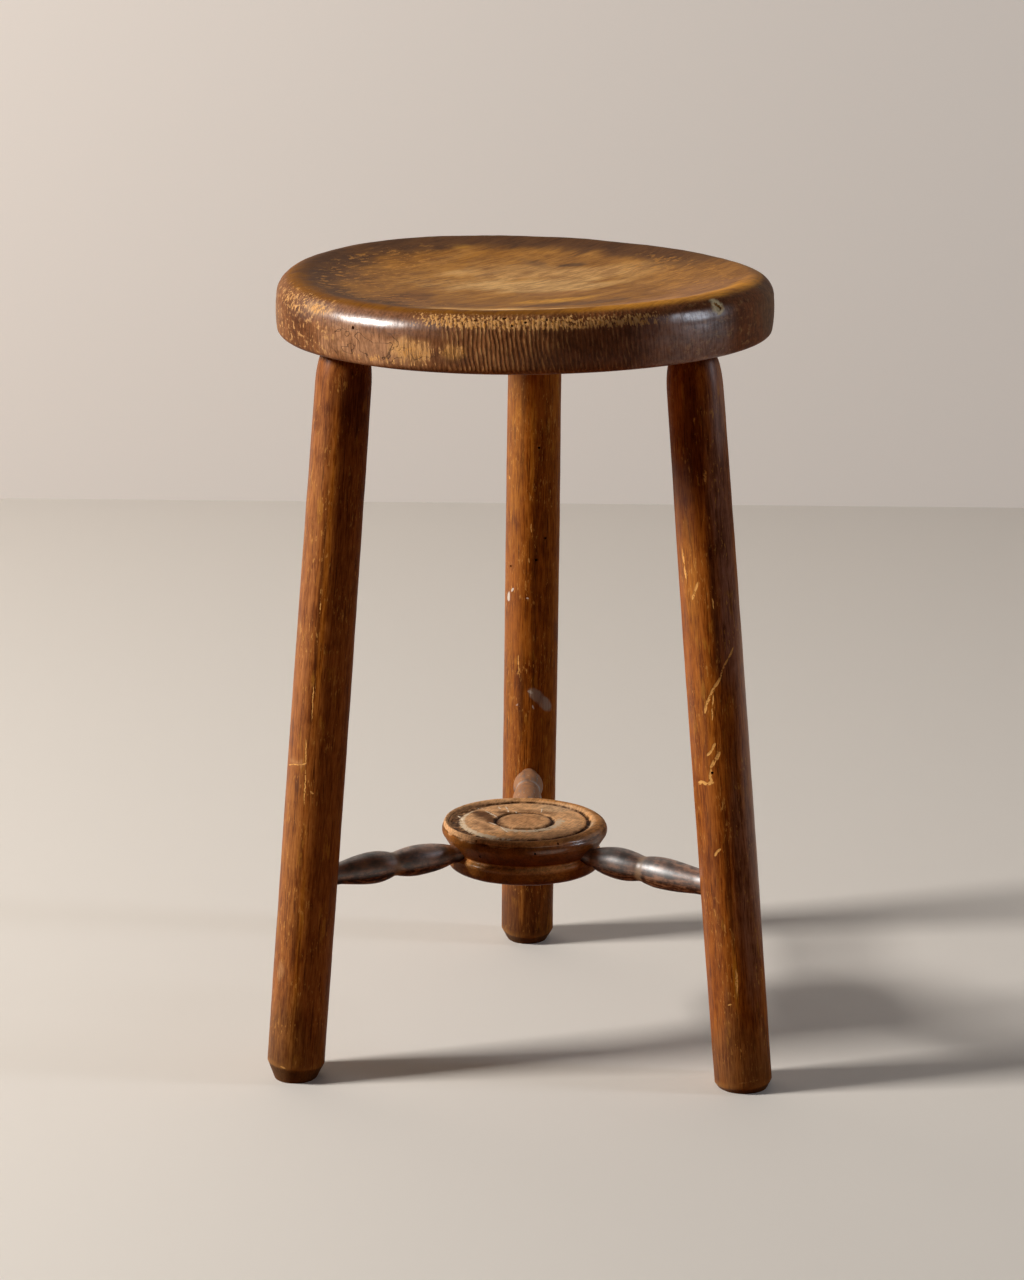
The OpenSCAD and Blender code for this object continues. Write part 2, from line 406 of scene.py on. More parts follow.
def cut(piece: bpy.types.Object, bores: Iterable[Bore], scoops: Iterable[Scoop]) -> None:
    """Cuts holes in a piece and keeps the result as its mesh.

    Args:
        piece: The object to cut.
        bores: The round holes, in the row frame.
        scoops: The torn hollows, in the row frame.
    """
    drill = bmesh.new()
    for bore in bores:
        way = bore.bottom - bore.mouth
        middle = Matrix.Translation((bore.mouth + bore.bottom) / 2.0)
        bmesh.ops.create_cone(
            drill,
            cap_ends=True,
            cap_tris=False,
            segments=bore.sides,
            radius1=bore.radius,
            radius2=bore.radius,
            depth=way.length,
            matrix=middle @ facing(way),
        )
    for scoop in scoops:
        form = facing(scoop.out) @ Matrix.Diagonal((*scoop.half, 1.0))
        for point in bmesh.ops.create_icosphere(drill, subdivisions=3, radius=1.0, matrix=form)["verts"]:
            ripple = noise.noise(point.co.normalized() * 2.6 + Vector((scoop.seed, 0.0, 0.0)))
            point.co = point.co * (1.0 + 0.55 * ripple) + scoop.middle
    tool = object_from(piece.name + "_drill", drill)
    step = piece.modifiers.new("holes", "BOOLEAN")
    step.operation = "DIFFERENCE"
    step.solver = "EXACT"
    step.object = tool
    view = bpy.context.evaluated_depsgraph_get()
    view.update()
    old = piece.data
    holed = bpy.data.meshes.new_from_object(piece.evaluated_get(view))
    piece.modifiers.clear()
    piece.data = holed
    holed.name = piece.name
    bpy.data.meshes.remove(old)
    shape = tool.data
    bpy.data.objects.remove(tool)
    bpy.data.meshes.remove(shape)


Rule = Callable[[Vector], float | Colour]


def paint(piece: bpy.types.Object, place: PieceFrame, rules: Mapping[str, Rule]) -> None:
    """Keeps numbers and colours at each point of a piece, for its finish to read.

    Args:
        piece: The finished object.
        place: Frame that the rules work in.
        rules: Name of each attribute, and what gives its number or colour for a point.
    """
    back = place.matrix.inverted()
    points = [back @ point.co for point in piece.data.vertices]
    for name, rule in rules.items():
        values = [rule(point) for point in points]
        if isinstance(values[0], tuple):
            layer = piece.data.attributes.new(name, "FLOAT_COLOR", "POINT")
            layer.data.foreach_set("color", [part for colour in values for part in (*colour, 1.0)])
        else:
            layer = piece.data.attributes.new(name, "FLOAT", "POINT")
            layer.data.foreach_set("value", values)


@dataclass(frozen=True)
class Patch:
    """A soft oval patch of one colour on a flat picture of a surface."""

    middle: tuple[float, float]
    half: tuple[float, float]
    colour: Colour
    turn: float = 0.0
    strength: float = 1.0
    ragged: float = 0.35

    def cover(self, across: float, over: float, ripple: float) -> float:
        """How much of the patch lies at a place.

        Args:
            across: Place across the picture.
            over: Place up the picture.
            ripple: Noise from -1 to 1 that roughens the patch's outline.

        Returns:
            A number from 0 to 1.
        """
        dx, dy = across - self.middle[0], over - self.middle[1]
        bound = (1.25 + 1.2 * self.ragged) * max(self.half)
        if abs(dx) > bound or abs(dy) > bound:
            return 0.0
        angle = math.radians(self.turn)
        along = (dx * math.cos(angle) + dy * math.sin(angle)) / self.half[0]
        aside = (dy * math.cos(angle) - dx * math.sin(angle)) / self.half[1]
        return self.strength * smooth_step(math.hypot(along, aside) + self.ragged * ripple, 1.25, 0.45)


def patches(*rows: tuple) -> tuple[Patch, ...]:
    """Patches from rows of their values."""
    return tuple(Patch(*row) for row in rows)


def blend(first: Colour, second: Colour, part: float) -> Colour:
    """Colour between two others.

    Args:
        first: Colour where the share is 0.
        second: Colour where the share is 1.
        part: Share of the second one.

    Returns:
        The colour.
    """
    if part <= 0.0:
        return first
    rest = 1.0 - part
    return tuple(low * rest + high * part for low, high in zip(first, second))


def covered(colour: Colour, spots: Iterable[Patch], across: float, over: float, ripple: float) -> Colour:
    """Colour of a place after every patch has been laid over it.

    Args:
        colour: Colour below the patches.
        spots: The patches, from the lowest to the highest.
        across: Place across the picture.
        over: Place up the picture.
        ripple: Noise from -1 to 1 that roughens the outlines.

    Returns:
        The colour.
    """
    for patch in spots:
        colour = blend(colour, patch.colour, patch.cover(across, over, ripple))
    return colour


def polar(point: Vector) -> tuple[float, float, float]:
    """Distance from the middle and height in millimetres, and direction from -270 to 90 degrees."""
    turn = math.degrees(math.atan2(point.y, point.x))
    return math.hypot(point.x, point.y) / MM, point.z / MM, turn - 360.0 if turn > 90.0 else turn


class Field:
    """A number, a colour or a place over a surface, as the output of one node."""

    def __init__(self, shader: "Shader", socket: bpy.types.NodeSocket) -> None:
        """Keeps the output and the material that it belongs to."""
        self.shader = shader
        self.socket = socket

    def step(self, operation: str, first: "Value", second: "Value" = 0.0) -> "Field":
        """One step of arithmetic."""
        return self.shader.put("ShaderNodeMath", 0, {0: first, 1: second}, operation=operation)

    def __add__(self, other: "Value") -> "Field":
        """The sum with another number."""
        return self.step("ADD", self, other)

    def __sub__(self, other: "Value") -> "Field":
        """This number less another one."""
        return self.step("SUBTRACT", self, other)

    def __rsub__(self, other: float) -> "Field":
        """A plain number less this one."""
        return self.step("SUBTRACT", other, self)

    def __mul__(self, other: "Value") -> "Field":
        """The product with another number."""
        return self.step("MULTIPLY", self, other)

    def __abs__(self) -> "Field":
        """This number without its sign."""
        return self.step("ABSOLUTE", self)

    def most(self, *others: "Value") -> "Field":
        """The greatest of this number and others.

        Args:
            *others: The other numbers.

        Returns:
            The field.
        """
        result = self
        for other in others:
            result = self.step("MAXIMUM", result, other)
        return result

    def span(self, low: float, high: float, start: float = 0.0, end: float = 1.0) -> "Field":
        """Rises smoothly from start at low to end at high."""
        numbers = dict(enumerate((self, low, high, start, end)))
        return self.shader.put("ShaderNodeMapRange", 0, numbers, interpolation_type="SMOOTHSTEP")

    def colours(self, *stops: tuple[float, Colour]) -> "Field":
        """Colour for this number, from a few stops.

        Args:
            *stops: Place from 0 to 1 and colour of each stop.

        Returns:
            The field.
        """
        node = self.shader.tree.nodes.new("ShaderNodeValToRGB")
        self.shader.feed(node, {0: self})
        ramp = node.color_ramp
        while len(ramp.elements) < len(stops):
            ramp.elements.new(1.0)
        for element, (place, colour) in zip(ramp.elements, stops):
            element.position = place
            element.color = (*colour, 1.0)
        return Field(self.shader, node.outputs["Color"])

    def mix(self, under: "Shade", over: "Shade") -> "Field":
        """Blends two colours, from the one under where this is 0 to the one over where it is 1."""
        return self.shader.put("ShaderNodeMix", 2, {0: self, 6: under, 7: over}, data_type="RGBA")

    def tinted(self, other: "Field") -> "Field":
        """This colour multiplied by another one."""
        inputs = {0: 1.0, 6: self, 7: other}
        return self.shader.put("ShaderNodeMix", 2, inputs, data_type="RGBA", blend_type="MULTIPLY")

    def mapped(self, kind: str = "POINT", **values: Sequence[float]) -> "Field":
        """This place moved, turned and scaled."""
        return self.shader.put("ShaderNodeMapping", 0, {"Vector": self, **values}, vector_type=kind)

    def stretch(self, x: float = 1.0, y: float = 1.0, z: float = 1.0, shift: float = 0.0) -> "Field":
        """This place scaled along each axis, and then shifted along all of them."""
        return self.mapped(Scale=(x, y, z), Location=(shift, shift, shift))

    def turn(self, x: float = 0.0, y: float = 0.0, z: float = 0.0) -> "Field":
        """This place turned about the axes, in degrees."""
        return self.mapped(Rotation=[math.radians(value) for value in (x, y, z)])

    def noise(
        self, scale: float, detail: float, rough: float = 0.5, bend: float = 0.0, output: str = "Fac"
    ) -> "Field":
        """Cloudy noise from 0 to 1 over this place, with that many clouds to the metre."""
        inputs = {"Vector": self, "Scale": scale, "Detail": detail, "Roughness": rough, "Distortion": bend}
        return self.shader.put("ShaderNodeTexNoise", output, inputs)

    def bands(self, period: float) -> "Field":
        """Soft bands across X, a period apart."""
        inputs = {"Vector": self, "Scale": math.pi / 10.0 / period}
        return self.shader.put("ShaderNodeTexWave", "Fac", inputs, wave_type="BANDS", bands_direction="X")

    def shaken(self, scale: float, reach: float) -> "Field":
        """This place moved about by noise, so that what is drawn on it is not straight.

        Args:
            scale: Clouds of the noise to the metre.
            reach: Farthest move in metres.

        Returns:
            The field.
        """
        vector = partial(self.shader.put, "ShaderNodeVectorMath", 0)
        away = vector({0: self.noise(scale, 2.0, output="Color"), 1: (0.5, 0.5, 0.5)}, operation="SUBTRACT")
        small = vector({0: away, "Scale": reach * 2.0}, operation="SCALE")
        return vector({0: self, 1: small}, operation="ADD")

    def streak(self, start: Vector, end: Vector, half_width: float) -> "Field":
        """A thin tapered streak between two points, 1 along its middle and 0 outside it.

        Args:
            start: One end of the streak.
            end: The other end.
            half_width: Distance at which the streak is gone.

        Returns:
            The mask.
        """
        way = end - start
        turn = way.to_track_quat("Z", "Y").to_euler()
        size = (half_width, half_width, way.length / 2.0 + half_width)
        ball = self.mapped("TEXTURE", Location=(start + end) / 2.0, Rotation=turn, Scale=size)
        return self.shader.put("ShaderNodeTexGradient", "Fac", {"Vector": ball}, gradient_type="SPHERICAL")


Value = float | Field
Shade = Colour | Field
Inputs = Mapping[str | int, Value | Sequence[float]]
WHITE = (1.0, 1.0, 1.0)


class Shader:
    """Lays the nodes of one material and links them."""

    def __init__(self, name: str) -> None:
        """Starts a material with one plain surface.

        Args:
            name: Name of the material.
        """
        self.material = bpy.data.materials.new(name)
        self.material.use_nodes = True
        self.tree = self.material.node_tree
        self.tree.nodes.clear()
        output = self.tree.nodes.new("ShaderNodeOutputMaterial")
        self.surface = self.tree.nodes.new("ShaderNodeBsdfPrincipled")
        self.tree.links.new(self.surface.outputs["BSDF"], output.inputs["Surface"])

    def feed(self, node: bpy.types.Node, inputs: Inputs) -> None:
        """Links inputs of a node to fields, or sets them to plain values.

        Args:
            node: The node.
            inputs: Field or plain value for each of the inputs.
        """
        for key, value in inputs.items():
            socket = node.inputs[key]
            if isinstance(value, Field):
                self.tree.links.new(value.socket, socket)
            elif socket.type == "RGBA":
                socket.default_value = (*value, 1.0)
            else:
                socket.default_value = value

    def put(self, kind: str, output: str | int, inputs: Inputs, **settings: str) -> Field:
        """Adds one node.

        Args:
            kind: Type of the node.
            output: Which of its outputs is wanted.
            inputs: What its inputs are fed with.
            **settings: Its options.

        Returns:
            The wanted output.
        """
        node = self.tree.nodes.new(kind)
        for key, value in settings.items():
            setattr(node, key, value)
        self.feed(node, inputs)
        return Field(self, node.outputs[output])

    def place(self, frame_of: PieceFrame) -> Field:
        """Coordinates of the surface in a piece's own frame.

        Args:
            frame_of: The piece's own frame.

        Returns:
            The coordinates.
        """
        back = frame_of.matrix.inverted()
        texture = self.put("ShaderNodeTexCoord", "Object", {})
        return texture.mapped(Location=back.to_translation(), Rotation=back.to_euler())

    def painted(self, name: str, output: str = "Fac") -> Field:
        """A number kept at the points of the piece, or with the output Color a colour."""
        return self.put("ShaderNodeAttribute", output, {}, attribute_name=name)


@dataclass(frozen=True)
class Mark:
    """A line where the finish is gone, through points of a piece's own frame in millimetres."""

    points: tuple[Colour, ...]
    half_width: float

    def streaks(self, place: Field) -> list[Field]:
        """The mark's streaks over a place."""
        spots = [Vector(point) * MM for point in self.points]
        return [place.streak(*pair, self.half_width * MM) for pair in zip(spots, spots[1:])]


def marked(place: Field, marks: Iterable[Mark]) -> Field:
    """Mask of several marks on a surface.

    Args:
        place: Coordinates of the surface.
        marks: The marks, one or more.

    Returns:
        1 on the marks and 0 off them.
    """
    first, *others = [streak for mark in marks for streak in mark.streaks(place)]
    return first.most(*others).span(0.05, 0.45)


def round_marks(*rows: tuple) -> tuple[Mark, ...]:
    """Marks on the round of a leg.

    Args:
        *rows: Of each mark its half width in millimetres, and then the direction in degrees and
            the length in millimetres of each of its points.

    Returns:
        The marks.
    """
    marks = []
    for half_width, *path in rows:
        turns = [(math.radians(turn), length) for turn, length in path]
        spots = ((LEG_ROUND * math.cos(turn), LEG_ROUND * math.sin(turn), length) for turn, length in turns)
        marks.append(Mark(tuple(spots), half_width))
    return tuple(marks)


@dataclass(frozen=True)
class Finish(ABC):
    """What every finish has: the gloss of the wood, a clear coat and a relief."""

    specular: float = 0.03
    coat_rough: float = 0.40
    coat_ior: float = 1.5
    depth: float = 0.28 * MM

    @abstractmethod
    def build(self, name: str, place: PieceFrame) -> bpy.types.Material:
        """Lays the material of one piece.

        Args:
            name: Name of the material.
            place: The piece's own frame.

        Returns:
            The material.
        """

    def dress(
        self, shader: Shader, colour: Field, rough: Field, coat: Field, height: Field
    ) -> bpy.types.Material:
        """Gives the surface its colour, gloss and relief.

        Args:
            shader: The material.
            colour: Base colour.
            rough: Roughness, from 0 to 1.
            coat: Strength of the clear coat, from 0 to 1.
            height: Relief, from 0 to 1.

        Returns:
            The material.
        """
        relief = shader.put("ShaderNodeBump", "Normal", {"Distance": self.depth, "Height": height})
        inputs = {
            "Base Color": colour,
            "Roughness": rough,
            "Specular IOR Level": self.specular,
            "Coat Weight": coat,
            "Coat Roughness": self.coat_rough,
            "Coat IOR": self.coat_ior,
            "Normal": relief,
        }
        shader.feed(shader.surface, inputs)
        return shader.material


@dataclass(frozen=True)
class LegFinish(Finish):
    """Reddish brown stain under worn satin shellac, on straight grained wood."""

    deep: Colour = (0.075, 0.016, 0.003)
    shade: Colour = (0.42, 0.28, 0.18)
    glow: Colour = (1.42, 1.6, 2.0)
    amber: Colour = (0.56, 0.24, 0.03)
    bare: Colour = (0.64, 0.3, 0.07)
    scratch: Colour = (0.86, 0.44, 0.12)
    chalk: Colour = (0.74, 0.65, 0.56)
    smear: Colour = (0.4, 0.34, 0.28)
    # Colour of the dirt on the feet and of the painted shade under the seat
    dirt_and_shade: Colour = (0.075, 0.036, 0.014)
    # Near-black painted shade down in the worm holes
    hole_shade: Colour = (0.012, 0.007, 0.004)
    seed: float = 0.0
    scratches: tuple[Mark, ...] = ()
    flecks: tuple[Mark, ...] = ()
    smears: tuple[Mark, ...] = ()

    def build(self, name: str, place: PieceFrame) -> bpy.types.Material:
        """Lays the material of one leg, which has at least one scratch.

        Args:
            name: Name of the material.
            place: The piece's own frame.

        Returns:
            The material.
        """
        shader = Shader(name)
        true_place = shader.place(place)
        local = true_place.stretch(shift=self.seed)
        fine = local.stretch(z=0.07).noise(1300.0, 5.0, 0.68)
        broad = local.stretch(z=0.09).noise(340.0, 4.0, 0.62, 0.3)
        cloud = local.noise(34.0, 6.0, 0.68)
        tone = fine * 0.46 + broad * 0.26 + cloud * 0.28
        ramp = tone.span(0.37, 0.63).colours((0.0, self.shade), (0.5, WHITE), (1.0, self.glow))
        colour = shader.painted("tint", "Color").tinted(ramp)
        amber = local.stretch(z=0.25).noise(190.0, 4.0, 0.65).span(0.56, 0.66)
        amber = amber * local.noise(24.0, 2.0).span(0.44, 0.58)
        colour = (amber * 0.45).mix(colour, self.amber)
        dark = local.stretch(z=0.05).noise(820.0, 2.0).span(0.40, 0.29)
        colour = (dark * 0.65).mix(colour, self.deep)
        specks = local.stretch(z=0.24).noise(1000.0, 3.0, 0.6).span(0.58, 0.66)
        specks = specks * local.noise(60.0, 3.0).span(0.44, 0.60) * 0.7
        wobbly = true_place.shaken(320.0, 0.7 * MM)
        lines = marked(wobbly, self.scratches) * local.noise(900.0, 2.0).span(0.34, 0.46)
        wear = specks.most(lines, shader.painted("rub"))
        colour = wear.mix(colour, self.bare)
        colour = lines.mix(colour, self.scratch)
        if self.flecks:
            colour = marked(wobbly, self.flecks).mix(colour, self.chalk)
        if self.smears:
            film = marked(wobbly, self.smears) * broad.span(0.3, 0.6, 0.35, 0.75)
            colour = film.mix(colour, self.smear)
        # Dirt on the feet, and painted shade in the corner under the seat
        soil_and_shade = shader.painted("soil_and_shade") * cloud.span(0.25, 0.55, 0.6, 1.0)
        colour = soil_and_shade.mix(colour, self.dirt_and_shade)
        # Painted shade down in the worm holes
        colour = shader.painted("hole_shade").mix(colour, self.hole_shade)
        coat = shader.painted("gloss") * soil_and_shade.span(0.0, 1.0, 1.0, 0.2)
        rough = tone.span(0.35, 0.65, 0.42, 0.52) + wear.most(soil_and_shade) * 0.25
        return self.dress(shader, colour, rough, coat, tone - dark * 0.35 - lines * 0.4)


@dataclass(frozen=True)
class StretcherFinish(Finish):
    """Dark brown satin shellac, worn pale in the waist and along the top."""

    specular: float = 0.02
    coat_rough: float = 0.46
    coat_ior: float = 3.0
    depth: float = 0.16 * MM
    deep: Colour = (0.02, 0.007, 0.003)
    body: Colour = (0.1, 0.034, 0.013)
    lit: Colour = (0.34, 0.15, 0.07)
    bare: Colour = (0.4, 0.25, 0.14)
    dust: Colour = (0.4, 0.19, 0.09)
    pale: Colour = (0.6, 0.45, 0.3)
    dusty: float = 0.0
    seed: float = 0.0

    def build(self, name: str, place: PieceFrame) -> bpy.types.Material:
        """Lays the material of one stretcher.

        Args:
            name: Name of the material.
            place: The piece's own frame.

        Returns:
            The material.
        """
        shader = Shader(name)
        local = shader.place(place).stretch(shift=self.seed)
        fine = local.stretch(z=0.16).noise(620.0, 4.0, 0.65)
        cloud = local.noise(120.0, 5.0, 0.65)
        rings = local.stretch(x=0.05, y=0.05).noise(900.0, 2.0)
        tone = fine * 0.5 + cloud * 0.5
        colour = tone.span(0.38, 0.62).colours((0.0, self.deep), (0.45, self.body), (1.0, self.lit))
        specks = local.noise(520.0, 3.0, 0.6).span(0.62, 0.68) * shader.painted("top")
        specks = specks * cloud.span(0.42, 0.56)
        wear = shader.painted("rub") * cloud.span(0.3, 0.6, 0.4, 1.0)
        dust = shader.painted("dust") * tone.span(0.36, 0.56, 0.35, 1.0) * self.dusty
        colour = wear.mix(colour, self.bare)
        colour = dust.mix(colour, self.dust)
        colour = specks.mix(colour, self.pale)
        bare = (wear * 0.5).most(dust, specks)
        coat = shader.painted("gloss") * bare.span(0.0, 1.0, 1.0, 0.1) * cloud.span(0.3, 0.6, 0.7, 1.0)
        rough = cloud.span(0.35, 0.65, 0.45, 0.55) + bare * 0.25
        return self.dress(shader, colour, rough, coat, rings * 0.22 + tone * 0.78)


@dataclass(frozen=True)
class HubFinish(Finish):
    """Worn brown shellac on a dusty turned face, with painted shade in the grooves and the crease."""

    specular: float = 0.04
    coat_rough: float = 0.24
    coat_ior: float = 1.8
    depth: float = 0.22 * MM
    # Colour of the painted shade in the grooves and the crease
    deep: Colour = (0.05, 0.02, 0.008)
    dust: Colour = (0.6, 0.46, 0.31)
    chalk: Colour = (0.78, 0.66, 0.5)
    # Near-black painted shade down in the worm holes
    hole_shade: Colour = (0.012, 0.007, 0.004)
    grain_turn: float = 62.0
    lines: tuple[Mark, ...] = ()

    def build(self, name: str, place: PieceFrame) -> bpy.types.Material:
        """Lays the material of the hub, which has at least one line.

        Args:
            name: Name of the material.
            place: The piece's own frame.

        Returns:
            The material.
        """
        shader = Shader(name)
        local = shader.place(place)
        fine = local.turn(z=-self.grain_turn).stretch(x=0.18).noise(1000.0, 4.0, 0.65)
        cloud = local.noise(170.0, 5.0, 0.68)
        tone = fine * 0.5 + cloud * 0.5
        colour = shader.painted("tint", "Color").tinted(tone.span(0.38, 0.62, 0.64, 1.30))
        # Painted shade in the grooves of the face and the crease under the rim
        groove_shade = shader.painted("groove_shade") * cloud.span(0.66, 0.44, 0.35, 1.0)
        colour = groove_shade.mix(colour, self.deep)
        dusty = shader.painted("dust")
        dust = (dusty + local.noise(420.0, 5.0, 0.7).span(0.3, 0.7, -0.55, 0.55)).span(0.30, 1.05)
        dust = dust * dusty.span(0.0, 0.15)
        colour = dust.mix(colour, self.dust)
        lines = marked(local.shaken(400.0, 0.5 * MM), self.lines) * local.noise(700.0, 2.0).span(0.34, 0.50)
        colour = lines.mix(colour, self.chalk)
        # Painted shade down in the worm holes
        colour = shader.painted("hole_shade").mix(colour, self.hole_shade)
        rough = shader.painted("top").span(0.0, 1.0, 0.42, 0.52) + dust * 0.3
        return self.dress(shader, colour, rough, shader.painted("gloss"), tone + lines * 0.5)


@dataclass(frozen=True)
class SeatFinish(Finish):
    """Worn waxed seat: streaks along the grain, end grain in ridges, ochre where it is rubbed."""

    specular: float = 0.07
    coat_rough: float = 0.32
    coat_ior: float = 2.3
    depth: float = 0.42 * MM
    dark: Colour = (0.11, 0.052, 0.026)
    light: Colour = (0.74, 0.4, 0.15)
    ochre: Colour = (0.62, 0.27, 0.05)
    ridge: Colour = (0.56, 0.31, 0.12)
    cream: Colour = (0.9, 0.72, 0.42)
    shade: Colour = (0.62, 0.54, 0.46)
    glow: Colour = (1.26, 1.32, 1.38)
    gap: Colour = (0.05, 0.02, 0.008)
    # Near-black painted shade down in the pits and the worm hole
    hole_shade: Colour = (0.012, 0.008, 0.005)
    grain_turn: float = 50.0
    ring_width: float = 2.4 * MM

    def build(self, name: str, place: PieceFrame) -> bpy.types.Material:
        """Lays the material of the seat.

        Args:
            name: Name of the material.
            place: The piece's own frame.

        Returns:
            The material.
        """
        shader = Shader(name)
        local = shader.place(place)
        on_top, ridge_on, torn = (shader.painted(rule) for rule in ("top", "ridge", "torn"))
        off_top = 1.0 - on_top
        turned = local.shaken(14.0, 6.0 * MM).turn(z=-self.grain_turn)
        streaks = turned.stretch(x=0.18, z=0.4).noise(190.0, 5.0, 0.66, 0.2)
        lines = turned.stretch(x=0.12, z=0.4).noise(800.0, 4.0, 0.65)
        cloud = turned.stretch(x=0.6).noise(60.0, 6.0, 0.70, 0.3)
        speck = local.noise(420.0, 4.0, 0.65)
        tone = streaks * 0.30 + lines * 0.34 + cloud * 0.36
        ramp = tone.span(0.39, 0.61).colours((0.0, self.shade), (0.5, WHITE), (1.0, self.glow))
        colour = shader.painted("tint", "Color").tinted(ramp)
        cuts = turned.stretch(x=0.12, z=0.3).noise(420.0, 3.0, 0.55).span(0.45, 0.34)
        colour = (cuts * shader.painted("cuts") * 0.8).mix(colour, self.dark)
        chips = turned.stretch(x=0.45).noise(330.0, 4.0, 0.65).span(0.54, 0.62)
        colour = (chips * shader.painted("speck") * 0.7).mix(colour, on_top.mix(self.light, self.ochre))
        slant = local.turn(y=7.0)
        hair = slant.stretch(z=0.10).noise(900.0, 3.0, 0.6)
        breaks = slant.stretch(z=0.4).noise(300.0, 3.0, 0.6)
        bands = slant.shaken(48.0, 3.0 * MM).bands(self.ring_width)
        crest = (bands + hair.span(0.3, 0.7, -0.40, 0.40)).span(0.78, 1.02)
        colour = (off_top * 0.55).mix(colour, colour.tinted(hair.span(0.36, 0.60, 0.55, 1.25)))
        gaps = ridge_on * bands.span(0.60, 0.10) * breaks.span(0.36, 0.58, 0.52, 0.10)
        colour = gaps.mix(colour, self.gap)
        colour = (ridge_on * crest * breaks.span(0.38, 0.58) * 0.85).mix(colour, self.ridge)
        wander = local.stretch(z=1.8).noise(62.0, 2.0, 0.5, 0.6)
        cracks = abs(wander - 0.5).span(0.016, 0.004) * shader.painted("crack")
        colour = (cracks * 0.75).mix(colour, self.gap)
        rubbed = shader.painted("worn") + speck.span(0.3, 0.7, -0.26, 0.26)
        rubbed = rubbed + hair.span(0.3, 0.7, -0.34, 0.34) + ridge_on * bands.span(0.1, 0.9, -0.22, 0.22)
        rubbed = rubbed.span(0.46, 0.66) * shader.painted("worn").span(0.0, 0.12)
        colour = (rubbed * 0.9).mix(colour, hair.span(0.35, 0.65).mix(self.ochre, self.light))
        pores = local.noise(900.0, 2.0).span(0.35, 0.27) * (off_top * 0.5).most(shader.painted("worn"))
        colour = (pores * 0.9).mix(colour, self.gap)
        colour = torn.mix(colour, speck.span(0.34, 0.42).mix(self.ochre, self.cream))
        # Painted shade down in the pits and the worm hole
        colour = shader.painted("hole_shade").mix(colour, self.hole_shade)
        bare = rubbed.most(torn, ridge_on * crest * 0.6)
        streaky = (hair * 0.5 + speck * 0.5).span(0.38, 0.58, 0.50, 1.0)
        coat = shader.painted("gloss") * bare.span(0.0, 1.0, 1.0, 0.25) * streaky
        rough = tone.span(0.35, 0.65, 0.54, 0.64) + bare * 0.12
        relief = bands.span(0.1, 0.9) * (ridge_on + 0.12) * off_top * 0.6
        height = tone * 0.35 + relief * 0.7 - rubbed * 0.20 - pores.most(cracks) * 0.3
        return self.dress(shader, colour, rough, coat, height + speck.span(0.3, 0.7) * 0.14)


class Piece(ABC):
    """A turned piece of the stool, from its outline to its dressed mesh."""

    sides: int
    finish: Finish
    sawn: ClassVar[bool] = False

    @property
    @abstractmethod
    def name(self) -> str:
        """Name of the object, its mesh and its material."""

    @property
    @abstractmethod
    def place(self) -> PieceFrame:
        """The piece's own frame."""

    @abstractmethod
    def outline(self) -> Outline:
        """Half outline, from pole to pole."""

    @abstractmethod
    def shape(self, point: Vector) -> Vector:
        """Where the worn piece has a point of the true one, in its own frame."""

    @abstractmethod
    def rules(self) -> Mapping[str, Rule]:
        """What is kept at the points of the piece for its finish."""

    def bores(self) -> list[Bore]:
        """Round holes of the piece."""
        return []

    def scoops(self) -> list[Scoop]:
        """Torn hollows of the piece."""
        return []

    def build(self) -> bpy.types.Object:
        """Turns, reshapes, saws and bores the piece, and dresses it.

        Returns:
            The finished object.
        """
        turning = Turning(self.name, self.place, self.outline(), self.sides)
        turning.reshape(self.shape)
        if self.sawn:
            turning.saw_level()
        piece = turning.make(self.bores(), self.scoops())
        paint(piece, self.place, self.rules())
        piece.data.materials.append(self.finish.build(self.name, self.place))
        return piece


